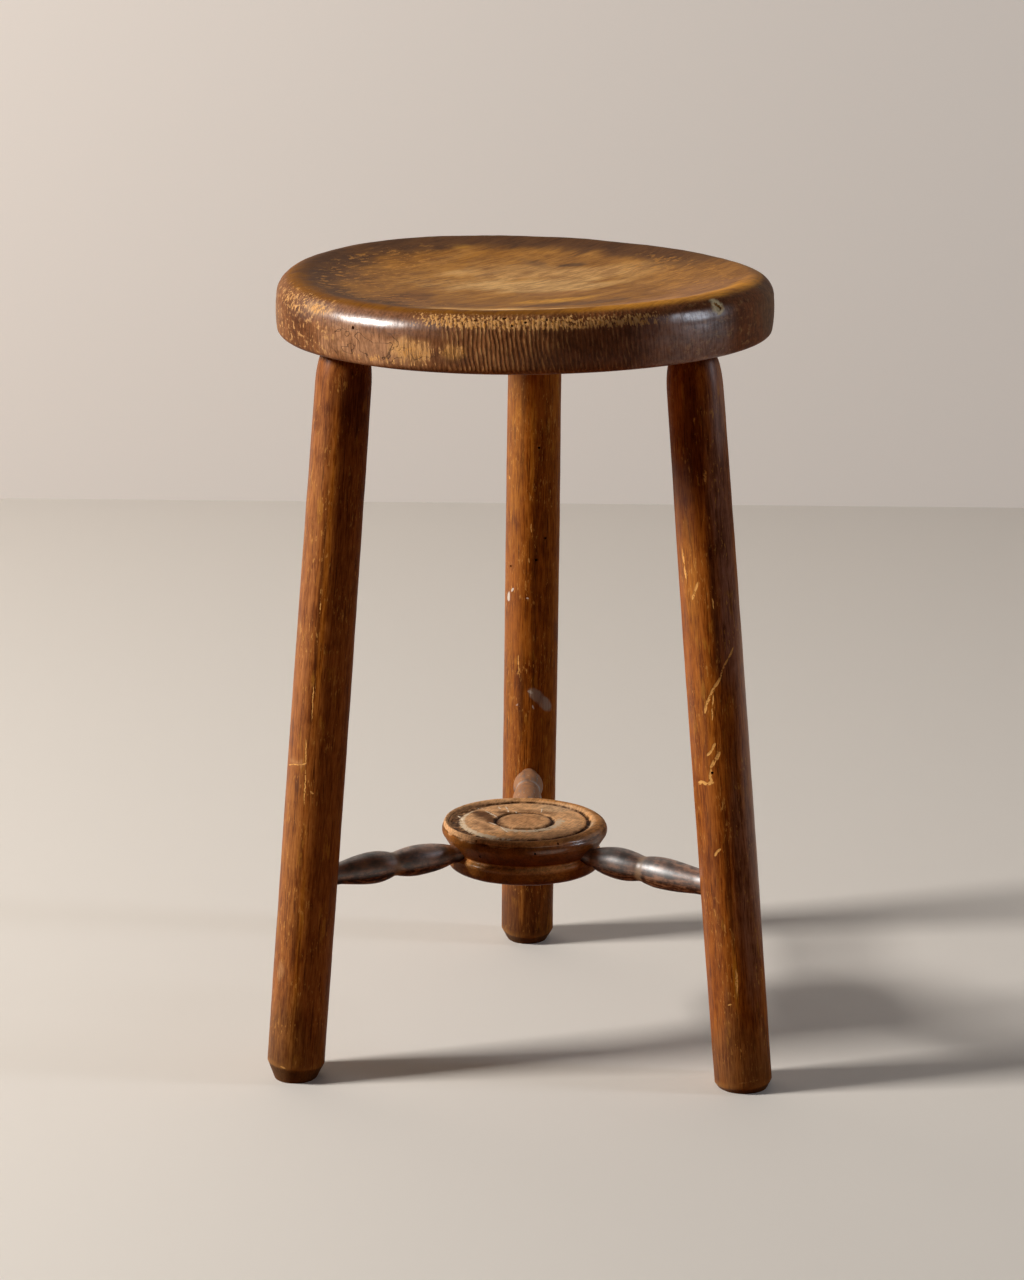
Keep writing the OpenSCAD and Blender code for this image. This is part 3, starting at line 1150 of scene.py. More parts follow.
@dataclass
class Seat(Piece):
    """The thick round seat, with its dish, its warp and its worn rim."""

    width: float = 280.0 * MM
    thick: float = 32.5 * MM
    dish: float = 9.5 * MM
    rim_slope: float = 12.0
    top_round: float = 12.0 * MM
    low_round: float = 4.0 * MM
    swell: float = 0.5 * MM
    top_warp: float = 2.2 * MM
    low_warp: float = 0.9 * MM
    warp_turn: float = 130.0
    grain_turn: float = 54.0
    tenon_width: float = 22.2 * MM
    tenon_depth: float = 21.5 * MM
    finish: SeatFinish = SeatFinish()
    sides: int = 512
    name = "seat_wood"
    place = PieceFrame(Vector((0.0, 0.0, LAYOUT.seat_base)), Vector((1.0, 0.0, 0.0)), BACKWARD, UP)

    def outline(self) -> Outline:
        """Half outline from the middle of the underside round to the middle of the dish.

        Returns:
            The points.
        """
        edge = self.width / 2.0 - self.swell
        top_mid = (edge - self.top_round, self.thick - self.top_round)
        low_mid = edge - self.low_round
        points = straight((0.0, 0.0), (low_mid, 0.0), 26)
        points += oval_arc(low_mid, self.low_round, self.low_round, self.low_round, -90.0, 0.0, 7)[1:]
        side_mid = (top_mid[1] + self.low_round) / 2.0
        side_half = (top_mid[1] - self.low_round) / 2.0
        for i in range(1, 14):
            part = 2.0 * i / 14.0 - 1.0
            points.append((edge + self.swell * (1.0 - part * part), side_mid + side_half * part))
        rim = oval_arc(top_mid[0], top_mid[1], self.top_round, self.top_round, 0.0, 90.0 + self.rim_slope, 22)
        points += rim
        lip = rim[-1]
        floor = self.thick - self.dish
        rise = lip[1] - floor
        power = math.tan(math.radians(self.rim_slope)) * lip[0] / rise
        for i in range(1, 65):
            reach = lip[0] * (1.0 - i / 64.0)
            points.append((reach, floor + rise * (reach / lip[0]) ** power))
        return [(0.0, 0.0), *points]

    def shape(self, point: Vector) -> Vector:
        """Cups the board across its grain, and leaves the marks of the hand tools.

        Args:
            point: A point of the true seat, in its own frame.

        Returns:
            The point where the worn seat has it.
        """
        reach = math.hypot(point.x, point.y)
        if reach < 0.01 * MM:
            return point
        turn = math.degrees(math.atan2(point.y, point.x))
        share = min(max(point.z / self.thick, 0.0), 1.0)
        lift = self.low_warp + (self.top_warp - self.low_warp) * share
        wave = math.cos(math.radians(2.0 * (turn - self.warp_turn)))
        rise = lift * wave * (2.0 * reach / self.width) ** 2
        rough = 0.25 * MM * noise.noise(point * 42.0) + 0.08 * MM * noise.noise(point * 160.0)
        outward = Vector((point.x, point.y, 0.0)) / reach
        moved = point + UP * (rise + rough * share)
        return moved + outward * rough * smooth_step(reach, 120.0 * MM, 139.0 * MM)

    def bores(self) -> list[Bore]:
        """The three sockets, and a worm hole in the rim."""
        mouth, bottom = (self.rim_point(-129.6, reach, 19.2) for reach in (142.0, 133.0))
        return [*(self.socket(side) for side in Side), Bore(mouth, bottom, 0.95 * MM, 14)]

    def scoops(self) -> list[Scoop]:
        """The pits along the front of the rim, and the chip on its right.

        Returns:
            The hollows.
        """
        out = Vector((0.2, -0.75, 0.65))
        pits = [
            Scoop(self.rim_point(turn, *spot), out, (wide * MM, 0.7 * MM, 1.0 * MM), turn)
            for turn, *spot, wide in SEAT_PITS
        ]
        chip_at = self.rim_point(CHIP_TURN, 137.0, 28.6)
        return [*pits, Scoop(chip_at, Vector((0.62, -0.53, 0.58)), (3.0 * MM, 3.1 * MM, 0.9 * MM), 4.4)]

    def rules(self) -> Mapping[str, Rule]:
        """Colour and wear of the seat.

        Returns:
            Name and rule of each attribute.
        """
        return {
            "tint": self.tint,
            "top": self.on_top,
            "worn": self.worn,
            "ridge": self.ridge,
            "speck": self.speck,
            "gloss": self.gloss,
            "cuts": self.cuts,
            "crack": self.crack,
            "torn": self.torn,
            "hole_shade": self.hole_shade,
        }

    @staticmethod
    def rim_point(turn: float, reach: float, height: float) -> Vector:
        """A point near the rim, from its direction, its distance and its height in millimetres."""
        angle = math.radians(turn)
        return Vector((reach * math.cos(angle), reach * math.sin(angle), LAYOUT.seat_base / MM + height)) * MM

    def socket(self, side: Side) -> Bore:
        """Socket in the underside for the tenon of a leg.

        Args:
            side: Which leg.

        Returns:
            The hole.
        """
        way = LAYOUT.leg_frame(side).along
        mouth = LAYOUT.top(side)
        return Bore(mouth - way * DRILL_START, mouth + way * self.tenon_depth, self.tenon_width / 2.0)

    def on_top(self, point: Vector) -> float:
        """1 on the dish and its lip, and 0 on the edge."""
        reach, height, _ = polar(point)
        return smooth_step(reach, 135.0, 131.5) * smooth_step(height, 14.0, 17.0)

    def tint(self, point: Vector) -> Colour:
        """Broad colour of the seat at a point, with painted light on the front of the dish and on parts of
        the edge.

        Args:
            point: A point in the seat's own frame.

        Returns:
            The colour.
        """
        reach, height, turn = polar(point)
        x, y = point.x / MM, point.y / MM
        if reach > LIP_REACH or height < 14.0:
            top = SEAT_LIP
        else:
            grain = math.radians(self.grain_turn)
            along = point.x * math.cos(grain) + point.y * math.sin(grain)
            aside = point.y * math.cos(grain) - point.x * math.sin(grain)
            ripple = noise.fractal(Vector((along * 22.0, aside * 75.0, 0.3)), 0.75, 2.1, 4)
            top = covered(SEAT_BROWN, SEAT_TOP_PATCHES, x, y, ripple)
            dusk = smooth_step(reach + 7.0 * ripple, 97.0, 114.0)
            top = blend(top, SEAT_DUSK, dusk * around(turn, 140.0, 125.0, 90.0))
            near = 119.5 + 4.0 * around(turn, -88.0, 30.0, 14.0)
            lip = smooth_step(reach + 3.0 * ripple, near, near + 4.5)
            top = blend(top, self.lip(turn), lip * around(turn, -96.0, 100.0, 76.0))
        on_top = self.on_top(point)
        if on_top >= 1.0:
            return top
        ripple = noise.fractal(point * 70.0, 0.7, 2.1, 4)
        side = blend(SEAT_SIDE, SEAT_SIDE_RIGHT, window(turn, -84.0, -70.0, 10.0, 60.0))
        side = covered(side, SEAT_SIDE_PATCHES, turn, height, ripple)
        side = blend(side, SEAT_UNDER, smooth_step(height, 1.5, 0.3) * smooth_step(reach, 139.0, 134.0))
        return blend(side, self.lip(turn) if reach > LIP_REACH else top, on_top)

    @staticmethod
    def lip(turn: float) -> Colour:
        """Colour of the dish's lip, which is paler on the right."""
        return blend(SEAT_LIP, SEAT_LIP_RIGHT, smooth_step(turn, -88.0, -62.0))

    def worn(self, point: Vector) -> float:
        """How far the finish is rubbed through to ochre wood.

        Args:
            point: A point in the seat's own frame.

        Returns:
            A number from 0 to 1.
        """
        reach, height, turn = polar(point)
        if reach < 120.0 or height < 3.0:
            return 0.0
        crest = smooth_step(abs(height - 27.3), 4.6, 1.6) * smooth_step(reach, 127.5, LIP_REACH)
        front = window(turn, -120.0, -106.0, -62.0, -52.0)
        left = window(turn, -168.0, -158.0, -150.0, -140.0)
        worn = 0.66 * crest * front + 0.40 * left * smooth_step(abs(height - 25.0), 7.0, 3.0)
        return min(max(worn, *(patch.cover(turn, height, 0.0) for patch in SEAT_WORN_PATCHES)), 1.0)

    def ridge(self, point: Vector) -> float:
        """Where the end grain stands out in ridges.

        Args:
            point: A point in the seat's own frame.

        Returns:
            A number from 0 to 1.
        """
        reach, height, turn = polar(point)
        if reach < 126.0:
            return 0.0
        start = smooth_step(turn + 0.5 * max(height - 16.0, 0.0), -108.0, -102.0)
        strong = start * (0.62 * smooth_step(turn, -76.0, -86.0) + 0.38 * smooth_step(turn, -58.0, -68.0))
        low = smooth_step(height, 0.5, 3.0) * smooth_step(reach, LIP_REACH, 135.0)
        return strong * low * (1.0 - 0.35 * smooth_step(height, 24.0, 28.0))

    def speck(self, point: Vector) -> float:
        """Where pale chips are scattered.

        Args:
            point: A point in the seat's own frame.

        Returns:
            A number from 0 to 1.
        """
        reach, height, turn = polar(point)
        if height < 2.0:
            return 0.0
        if reach < LIP_REACH:
            left = around(turn, 185.0, 80.0, 45.0) * smooth_step(reach, 60.0, 90.0)
            right = 0.8 * around(turn, 15.0, 50.0, 25.0) * smooth_step(reach, 60.0, 85.0)
            return max(left, right) * smooth_step(reach, 122.0, 112.0)
        left = 0.85 * window(turn, -178.0, -165.0, -142.0, -128.0)
        right = 0.35 * window(turn, -60.0, -48.0, -30.0, -20.0)
        return max(left, right)

    def gloss(self, point: Vector) -> float:
        """Where the edge is polished by hands.

        Args:
            point: A point in the seat's own frame.

        Returns:
            A number from 0 to 1.
        """
        reach, height, turn = polar(point)
        if reach < 128.0:
            return 0.0
        left = 0.75 * window(turn, -158.0, -142.0, -114.0, -98.0)
        left *= window(height, 15.0, 21.0, 26.5, 30.0)
        right = window(turn, -70.0, -52.0, -41.0, -32.0)
        right *= (0.45 + 0.55 * smooth_step(height, 8.0, 17.0)) * smooth_step(height, 30.0, 26.5)
        front = 0.12 * window(turn, -150.0, -120.0, -60.0, -20.0)
        return max(left, right, front * window(height, 2.0, 8.0, 26.0, 29.0))

    def torn(self, point: Vector) -> float:
        """Where a chip of the rim is torn off and bare wood shows.

        Args:
            point: A point in the seat's own frame.

        Returns:
            A number from 0 to 1.
        """
        reach, height, turn = polar(point)
        away = angle_gap(turn, CHIP_TURN)
        if reach < 126.0 or away > 4.0:
            return 0.0
        ripple = 0.3 * noise.noise(point * 420.0)
        return smooth_step(math.hypot(away / 1.9, (height - 28.4) / 4.2) + ripple, 1.1, 0.8)

    def cuts(self, point: Vector) -> float:
        """Where short dark cuts lie along the grain of the dish.

        Args:
            point: A point in the seat's own frame.

        Returns:
            A number from 0 to 1.
        """
        x, y = point.x / MM, point.y / MM
        reach, height, _ = polar(point)
        strength = max(0.3, *(patch.cover(x, y, 0.0) for patch in SEAT_CUTS))
        return strength * smooth_step(height, 14.0, 17.0) * smooth_step(reach, LIP_REACH, 124.0)

    def crack(self, point: Vector) -> float:
        """Where the finish is crazed on the front left of the edge.

        Args:
            point: A point in the seat's own frame.

        Returns:
            A number from 0 to 1.
        """
        reach, height, turn = polar(point)
        if reach < 128.0:
            return 0.0
        band = window(turn, -140.0, -134.0, -112.0, -104.0)
        return band * window(height, 1.0, 4.0, 17.0, 21.0)

    def hole_shade(self, point: Vector) -> float:
        """Painted shade: 1 down in the pits and the worm hole of the rim.

        Args:
            point: A point in the seat's own frame.

        Returns:
            A number from 0 to 1.
        """
        reach, height, turn = polar(point)
        if reach < 126.0 or height < 5.0:
            return 0.0
        edge = self.width / 2.0 / MM - self.swell / MM
        mid, low = edge - self.top_round / MM, self.thick / MM - self.top_round / MM
        lift = self.top_warp / MM * math.cos(math.radians(2.0 * (turn - self.warp_turn)))
        skin = math.hypot(reach - mid, max(height - lift - low, 0.0)) - self.top_round / MM
        chip = around(turn, CHIP_TURN, 2.6, 2.0)
        return smooth_step(skin, -0.45, -0.9) * (1.0 - 0.97 * chip)


SEAT_BROWN: Colour = (0.34, 0.142, 0.03)
SEAT_DUSK: Colour = (0.125, 0.05, 0.017)
SEAT_LIP: Colour = (0.205, 0.07, 0.004)
SEAT_LIP_RIGHT: Colour = (0.56, 0.225, 0.024)
SEAT_SIDE: Colour = (0.22, 0.084, 0.029)
SEAT_SIDE_RIGHT: Colour = (0.21, 0.066, 0.02)
SEAT_UNDER: Colour = (0.21, 0.105, 0.05)
# Each row of a table of patches has the values of Patch. On the dish they lie at X and Y in
# millimetres, and on the edge at a direction in degrees and a height in millimetres.
SEAT_TOP_PATCHES = patches(
    ((-45, 78), (66, 34), (0.4, 0.158, 0.02), 22, 0.9),
    ((-104, 12), (18, 26), (0.15, 0.062, 0.026), 0, 0.8, 0.5),
    ((0, 24), (92, 70), (0.45, 0.2, 0.044), 20, 1, 0.5),
    ((58, 48), (34, 24), (0.56, 0.285, 0.085), 30, 0.9, 0.5),
    ((4, 10), (58, 24), (0.66, 0.37, 0.135), 12, 1, 0.5),
    ((10, 46), (52, 19), (0.64, 0.34, 0.115), 8, 0.9, 0.5),
    ((-4, 60), (30, 14), (0.52, 0.265, 0.085), 8, 0.7, 0.5),
    ((14, -44), (28, 9), (0.62, 0.285, 0.044), 24, 0.9, 0.6),
    ((20, -20), (30, 9), (0.36, 0.158, 0.052), 20, 0.6, 0.6),
    # Painted light: the front slope of the dish, which faces up towards the lamps, is made much paler
    ((4, -108), (70, 24), (1, 0.56, 0.2), 0, 0.95, 0.3),
    ((84, -74), (40, 30), (0.47, 0.215, 0.08), 40, 0.9, 0.4),
    ((100, -30), (30, 44), (0.33, 0.145, 0.056), 0, 0.8),
    ((84, 20), (22, 40), (0.44, 0.195, 0.046), 0, 0.7, 0.5),
    ((-66, -50), (14, 44), (0.21, 0.08, 0.022), -14, 0.8, 0.6),
    ((-58, -72), (14, 24), (0.3, 0.13, 0.042), -14, 0.7, 0.6),
    ((-80, -84), (26, 18), (0.095, 0.03, 0.004), -45, 0.95, 0.4),
    ((-34, -68), (26, 10), (0.24, 0.105, 0.036), 20, 0.7, 0.6),
    ((34, -60), (30, 9), (0.19, 0.085, 0.034), 24, 0.85, 0.6),
    ((95, 72), (28, 24), (0.21, 0.09, 0.028), -30, 0.8, 0.5),
    ((4, 73), (8, 11), (0.28, 0.13, 0.042), 40, 0.9, 0.7),
    ((27.7, 71), (12, 5), (0.15, 0.07, 0.028), 20, 0.95, 0.7),
    ((-20, 44), (18, 3), (0.36, 0.175, 0.065), 54, 0.6, 0.7),
    ((-46, 102.5), (9, 5), (0.64, 0.29, 0.036), 20, 0.95, 0.5),
    ((-80, 88), (7, 4), (0.45, 0.195, 0.028), 20, 0.6, 0.6),
)
SEAT_CUTS = patches(
    ((-60, 8), (34, 16), SEAT_DUSK, 54, 0.9),
    ((-44, -34), (26, 12), SEAT_DUSK, 54, 0.7),
    ((22, 92), (26, 16), SEAT_DUSK, 30, 0.9),
    ((-8, 62), (16, 10), SEAT_DUSK, 54, 0.7),
    ((60, -34), (22, 10), SEAT_DUSK, 54, 0.5),
)
SEAT_SIDE_PATCHES = patches(
    # Painted light: paler and greyer at the left end, which faces the key lamp
    ((-172, 14), (9, 12), (0.27, 0.14, 0.072), 0, 0.9),
    ((-151, 12), (10, 14), (0.15, 0.052, 0.016), 0, 0.9, 0.5),
    ((-142, 24.5), (5, 3.6), (0.48, 0.25, 0.1), 0, 0.6, 0.6),
    ((-133, 14), (9, 10), (0.3, 0.14, 0.064), 0, 0.9, 0.4),
    ((-124, 8.5), (15, 9.5), (0.39, 0.19, 0.09), 0, 0.9, 0.4),
    ((-113.5, 11), (5, 6.5), (0.56, 0.29, 0.11), 0, 0.9, 0.6),
    ((-107.5, 19), (3, 5), (0.17, 0.06, 0.018), 0, 0.8, 0.6),
    ((-104, 11.5), (3.4, 3.8), (0.52, 0.26, 0.075), 0, 0.9, 0.6),
    # Painted light: lighter where the far lamp falls on the right of the edge
    ((-53, 12), (13, 16), (0.29, 0.105, 0.04), 0, 0.8, 0.5),
    ((-10, 16), (14, 20), (0.185, 0.092, 0.04), 0, 0.8),
    ((-92, 13), (11, 16), (0.32, 0.125, 0.04), 0, 0.8, 0.4),
    ((-70, 14), (8, 14), (0.15, 0.046, 0.012), 0, 0.6, 0.5),
)
SEAT_WORN_PATCHES = patches(
    ((-142.5, 25), (4.5, 3.2), SEAT_LIP, 0, 0.66),
    ((-113.5, 10.5), (5.5, 6.5), SEAT_LIP, 0, 0.6),
    ((-104, 12), (4, 4), SEAT_LIP, 0, 0.55),
    ((-120, 4), (12, 3.5), SEAT_LIP, 0, 0.42),
)
# Direction in degrees, and distance, height and half width in millimetres of each pit
SEAT_PITS = (
    (-99.7, 136.6, 28.6, 1.3),
    (-97.4, 137.2, 28.2, 0.9),
    (-95.2, 135.6, 29.6, 0.8),
    (-93.3, 135.4, 29.7, 1.5),
    (-91.5, 138.1, 26.4, 0.8),
    (-88.6, 137, 28, 1),
    (-84, 136, 29, 0.8),
    (-108.6, 137.6, 27.3, 0.8),
)


@dataclass
class Leg(Piece):
    """A turned leg: bevelled foot, slightly swelling shaft, round shoulder and tenon."""

    side: Side
    finish: LegFinish
    top_width: float = 30.8 * MM
    foot_width: float = 33.0 * MM
    swell: float = 1.0 * MM
    shoulder: float = 20.0 * MM
    neck: float = 3.0 * MM
    bevel_width: float = 4.8 * MM
    bevel_height: float = 9.0 * MM
    trim: float = 0.5 * MM
    tenon_width: float = 22.0 * MM
    tenon_length: float = 21.0 * MM
    socket_width: float = 12.8 * MM
    socket_depth: float = 13.5 * MM
    worm_width: float = 1.7 * MM
    worm_holes: tuple[tuple[float, float], ...] = ()
    stain: Colour = (0.305, 0.092, 0.015)
    patches: tuple[Patch, ...] = ()
    sheens: tuple[tuple[float, float, float, float], ...] = ()
    shine_top: float = 400.0
    sides: int = 96
    rings: int = 220
    sawn: ClassVar[bool] = True

    @property
    def name(self) -> str:
        """Name of the leg's object."""
        return f"leg_{self.side.word}_wood"

    @cached_property
    def place(self) -> PieceFrame:
        """The leg's own frame."""
        return LAYOUT.leg_frame(self.side)

    @cached_property
    def whole(self) -> float:
        """Length from the foot to the seat along the axis."""
        return LAYOUT.leg_length(self.side)

    def radius(self, length: float) -> float:
        """Radius of the shaft at a distance up its axis.

        Args:
            length: Distance up the leg's axis.

        Returns:
            The radius.
        """
        whole = self.whole
        plain = self.foot_width + (self.top_width - self.foot_width) * length / whole
        return plain / 2.0 + self.swell / 2.0 * math.sin(math.pi * length / whole)

    def outline(self) -> Outline:
        """Half outline from the foot to the end of the tenon.

        Returns:
            The points.
        """
        whole = self.whole
        foot = self.radius(0.0) - self.bevel_width
        end = -(foot * math.tan(LAYOUT.leg_lean(self.side)) + self.trim)
        bevel_top = end + self.bevel_height
        start = whole - self.neck - self.shoulder
        points = straight((0.0, end), (foot, end), 6)
        points += straight((foot, end), (self.radius(bevel_top), bevel_top), 8)
        for i in range(1, self.rings + 1):
            length = bevel_top + (start - bevel_top) * i / self.rings
            points.append((self.radius(length), length))
        tenon = self.tenon_width / 2.0
        points += oval_arc(tenon, start, self.radius(start) - tenon, self.shoulder, 0.0, 90.0, 18)[1:]
        points += straight((tenon, whole - self.neck), (tenon, whole + self.tenon_length), 12)
        points += straight((tenon, whole + self.tenon_length), (0.0, whole + self.tenon_length), 4)
        return [(0.0, end), *points]

    def shape(self, point: Vector) -> Vector:
        """Leaves the flats and hollows of hand work on the shaft.

        Args:
            point: A point of the true leg, in its own frame.

        Returns:
            The point where the worn leg has it.
        """
        reach = math.hypot(point.x, point.y)
        whole = self.whole
        if reach < 4.0 * MM or point.z > whole - self.neck:
            return point
        seed = self.side.value
        wide = noise.noise(Vector((point.x * 150.0 + seed, point.y * 150.0, point.z * 7.0)))
        narrow = noise.noise(Vector((point.x * 420.0, point.y * 420.0 + seed, point.z * 16.0)))
        dent = noise.noise(point * 55.0 + Vector((seed, 0.0, 0.0)))
        push = (0.22 * wide + 0.08 * narrow + 0.12 * dent) * MM
        return pushed(point, push)

    def bores(self) -> list[Bore]:
        """The stretcher's socket and the worm holes."""
        return [self.socket(), *(self.worm_hole(*hole) for hole in self.worm_holes)]

    def rules(self) -> Mapping[str, Rule]:
        """Colour and wear of the leg."""
        return {"tint": self.tint, "rub": self.rub, "soil_and_shade": self.soil_and_shade, "gloss": self.gloss, "hole_shade": self.hole_shade}

    def socket(self) -> Bore:
        """Socket in the side of the leg for its stretcher.

        Returns:
            The hole.
        """
        way = LAYOUT.stretcher_frame(self.side).along
        meet = LAYOUT.meet(self.side)
        surface = meet - way * LEG_SKIN
        return Bore(surface - way * DRILL_START, surface + way * self.socket_depth, self.socket_width / 2.0)

    def worm_hole(self, turn: float, length: float) -> Bore:
        """A worm hole at a direction in degrees round the leg and a length in millimetres up it.

        Args:
            turn: Direction in degrees.
            length: Distance up the leg's axis.

        Returns:
            The hole.
        """
        angle = math.radians(turn)
        out = self.place.across * math.cos(angle) + self.place.over * math.sin(angle)
        middle = self.place.origin + self.place.along * length * MM
        return Bore(middle + out * 20.0 * MM, middle + out * 12.5 * MM, self.worm_width / 2.0, 12)

    @cached_property
    def bevel_line(self) -> float:
        """Length at which the foot's bevel starts."""
        foot = self.radius(0.0) - self.bevel_width
        return self.bevel_height - foot * math.tan(LAYOUT.leg_lean(self.side)) - self.trim

    def tint(self, point: Vector) -> Colour:
        """Broad colour of the leg at a point, with the painted light, sheen and shade of its patches.

        Args:
            point: A point in the leg's own frame.

        Returns:
            The colour.
        """
        _, length, turn = polar(point)
        ripple = noise.fractal(Vector((point.x * 170.0, point.y * 170.0, point.z * 22.0)), 0.7, 2.1, 4)
        return covered(self.stain, self.patches, turn, length, ripple)

    def gloss(self, point: Vector) -> float:
        """Where the shellac still shines.

        Args:
            point: A point in the leg's own frame.

        Returns:
            A number from 0 to 1.
        """
        _, length, turn = polar(point)
        shine = 0.55 * around(turn, -138.0, 42.0, 14.0)
        shine *= smooth_step(length, self.shine_top + 40.0, self.shine_top)
        for middle, height, half, strength in self.sheens:
            far = math.hypot(angle_gap(turn, middle) / 34.0, (length - height) / half)
            shine = max(shine, strength * smooth_step(far, 1.0, 0.4))
        return shine

    def rub(self, point: Vector) -> float:
        """Worn line along the upper edge of the bevel.

        Args:
            point: A point in the leg's own frame.

        Returns:
            A number from 0 to 1.
        """
        line = self.bevel_line + 0.6 * MM
        wander = 0.5 * MM * noise.noise(point * 130.0)
        strength = 0.35 + 0.6 * noise.noise(point * 60.0 + Vector((3.0, 1.0, 0.0)))
        near = math.exp(-(((point.z - line - wander) / (1.1 * MM)) ** 2))
        return min(max(strength * near, 0.0), 1.0)

    def soil_and_shade(self, point: Vector) -> float:
        """Dirt on the bevel, and painted shade in the corner under the seat.

        Args:
            point: A point in the leg's own frame.

        Returns:
            A number from 0 to 1.
        """
        low = smooth_step(point.z, self.bevel_line + 1.0 * MM, self.bevel_line - 2.0 * MM)
        low = max(low, 0.45 * smooth_step(point.z, 30.0 * MM, 4.0 * MM))
        # Painted shade in the corner under the seat
        high = smooth_step(point.z, self.whole - 12.0 * MM, self.whole - 3.0 * MM)
        return max(0.8 * low, 0.3 * high)

    def hole_shade(self, point: Vector) -> float:
        """Painted shade: 1 down in the worm holes.

        Args:
            point: A point in the leg's own frame.

        Returns:
            A number from 0 to 1.
        """
        if point.z < 20.0 * MM or point.z > self.whole - 30.0 * MM:
            return 0.0
        depth = self.radius(point.z) - math.hypot(point.x, point.y)
        return smooth_step(depth, 0.7 * MM, 1.2 * MM)


@dataclass
class Stretcher(Piece):
    """A turned stretcher: two long beads with a waist between them."""

    side: Side
    waist_from_leg: float
    leg_end: float
    bead_in: float
    bead_out: float
    waist: float
    peak_in: float = 14.5 * MM
    peak_out: float = 13.0 * MM
    band: float = 2.0 * MM
    land: float = 2.5 * MM
    hub_radius: float = 48.7 * MM
    cove_radius: float = 42.5 * MM
    hub_gap: float = 0.4 * MM
    hub_end: float = 11.0 * MM
    in_hub: float = 18.5 * MM
    in_leg: float = 13.0 * MM
    sides: int = 56

    @property
    def finish(self) -> StretcherFinish:
        """The stretcher's finish, under dust at the back."""
        return STRETCHER_FINISHES[self.side]

    @property
    def waist_wear(self) -> float:
        """How far the waist is rubbed, which is less at the back."""
        return 0.2 if self.side is Side.BACK else 0.8

    @property
    def name(self) -> str:
        """Name of the stretcher's object."""
        return f"stretcher_{self.side.word}_wood"

    @cached_property
    def place(self) -> PieceFrame:
        """The stretcher's own frame."""
        return LAYOUT.stretcher_frame(self.side)

    @cached_property
    def leg_side(self) -> float:
        """Distance from the hub's middle to the near side of the leg."""
        return (LAYOUT.meet(self.side) - LAYOUT.hub_centre).length - LEG_SKIN

    @cached_property
    def waist_at(self) -> float:
        """Distance from the hub's middle to the waist."""
        return self.leg_side - self.waist_from_leg

    def outline(self) -> Outline:
        """Half outline from the tenon in the hub to the tenon in the leg.

        Returns:
            The points.
        """
        hub_end, leg_end, waist = self.hub_end / 2.0, self.leg_end / 2.0, self.waist / 2.0
        first, last = self.cove_radius - self.in_hub, self.leg_side + self.in_leg
        start, end = self.hub_radius + self.hub_gap, self.leg_side - self.land
        crest_in = (self.bead_in / 2.0, self.waist_at - self.peak_in)
        crest_out = (self.bead_out / 2.0, self.waist_at + self.peak_out)
        band_in = (waist, self.waist_at - self.band / 2.0)
        band_out = (waist, self.waist_at + self.band / 2.0)
        return [
            (0.0, first),
            *straight((0.0, first), (hub_end, first), 3),
            *straight((hub_end, first), (hub_end, start), 12),
            *bead_half((hub_end, start), crest_in, 0.75, 24),
            *bead_half(crest_in, band_in, 0.9, 16),
            *straight(band_in, band_out, 3),
            *bead_half(band_out, crest_out, 0.9, 16),
            *bead_half(crest_out, (leg_end, end), 1.2, 24),
            *straight((leg_end, end), (leg_end, last), 12),
            *straight((leg_end, last), (0.0, last), 3),
        ]

    def shape(self, point: Vector) -> Vector:
        """Leaves the beads a little out of true.

        Args:
            point: A point in the stretcher's own frame.

        Returns:
            The point.
        """
        reach = math.hypot(point.x, point.y)
        if reach < 3.0 * MM or point.z < self.hub_radius or point.z > self.leg_side:
            return point
        push = 0.16 * MM * noise.noise(point * 90.0 + Vector((self.side.value, 0.0, 0.0)))
        push += 0.05 * MM * noise.noise(Vector((0.0, self.side.value, point.z * 700.0)))
        return pushed(point, push)

    def rules(self) -> Mapping[str, Rule]:
        """Wear of the stretcher."""
        return {"rub": self.rub, "top": self.top, "dust": self.dust, "gloss": self.gloss}

    def gloss(self, point: Vector) -> float:
        """Polish of the upper side."""
        return smooth_step(point.y, -3.5 * MM, 3.5 * MM)

    def rub(self, point: Vector) -> float:
        """Worn band round the waist."""
        away = abs(point.z - self.waist_at - 0.8 * MM)
        return self.waist_wear * smooth_step(away, 3.2 * MM, 1.2 * MM)

    def top(self, point: Vector) -> float:
        """1 along the top of the stretcher, where it is chipped."""
        return smooth_step(point.y, 3.0 * MM, 7.0 * MM)

    def dust(self, point: Vector) -> float:
        """Dust on the upper side, less in the turned lines on each side of the waist."""
        lines = smooth_step(abs(abs(point.z - self.waist_at) - 2.4 * MM), 0.5 * MM, 1.2 * MM)
        return smooth_step(point.y, -4.0 * MM, 3.0 * MM) * (0.25 + 0.75 * lines)


STRETCHER_FINISHES = {
    Side.LEFT: StretcherFinish(seed=1.0),
    Side.RIGHT: StretcherFinish(seed=2.0),
    Side.BACK: StretcherFinish(dusty=0.95, seed=3.0),
}


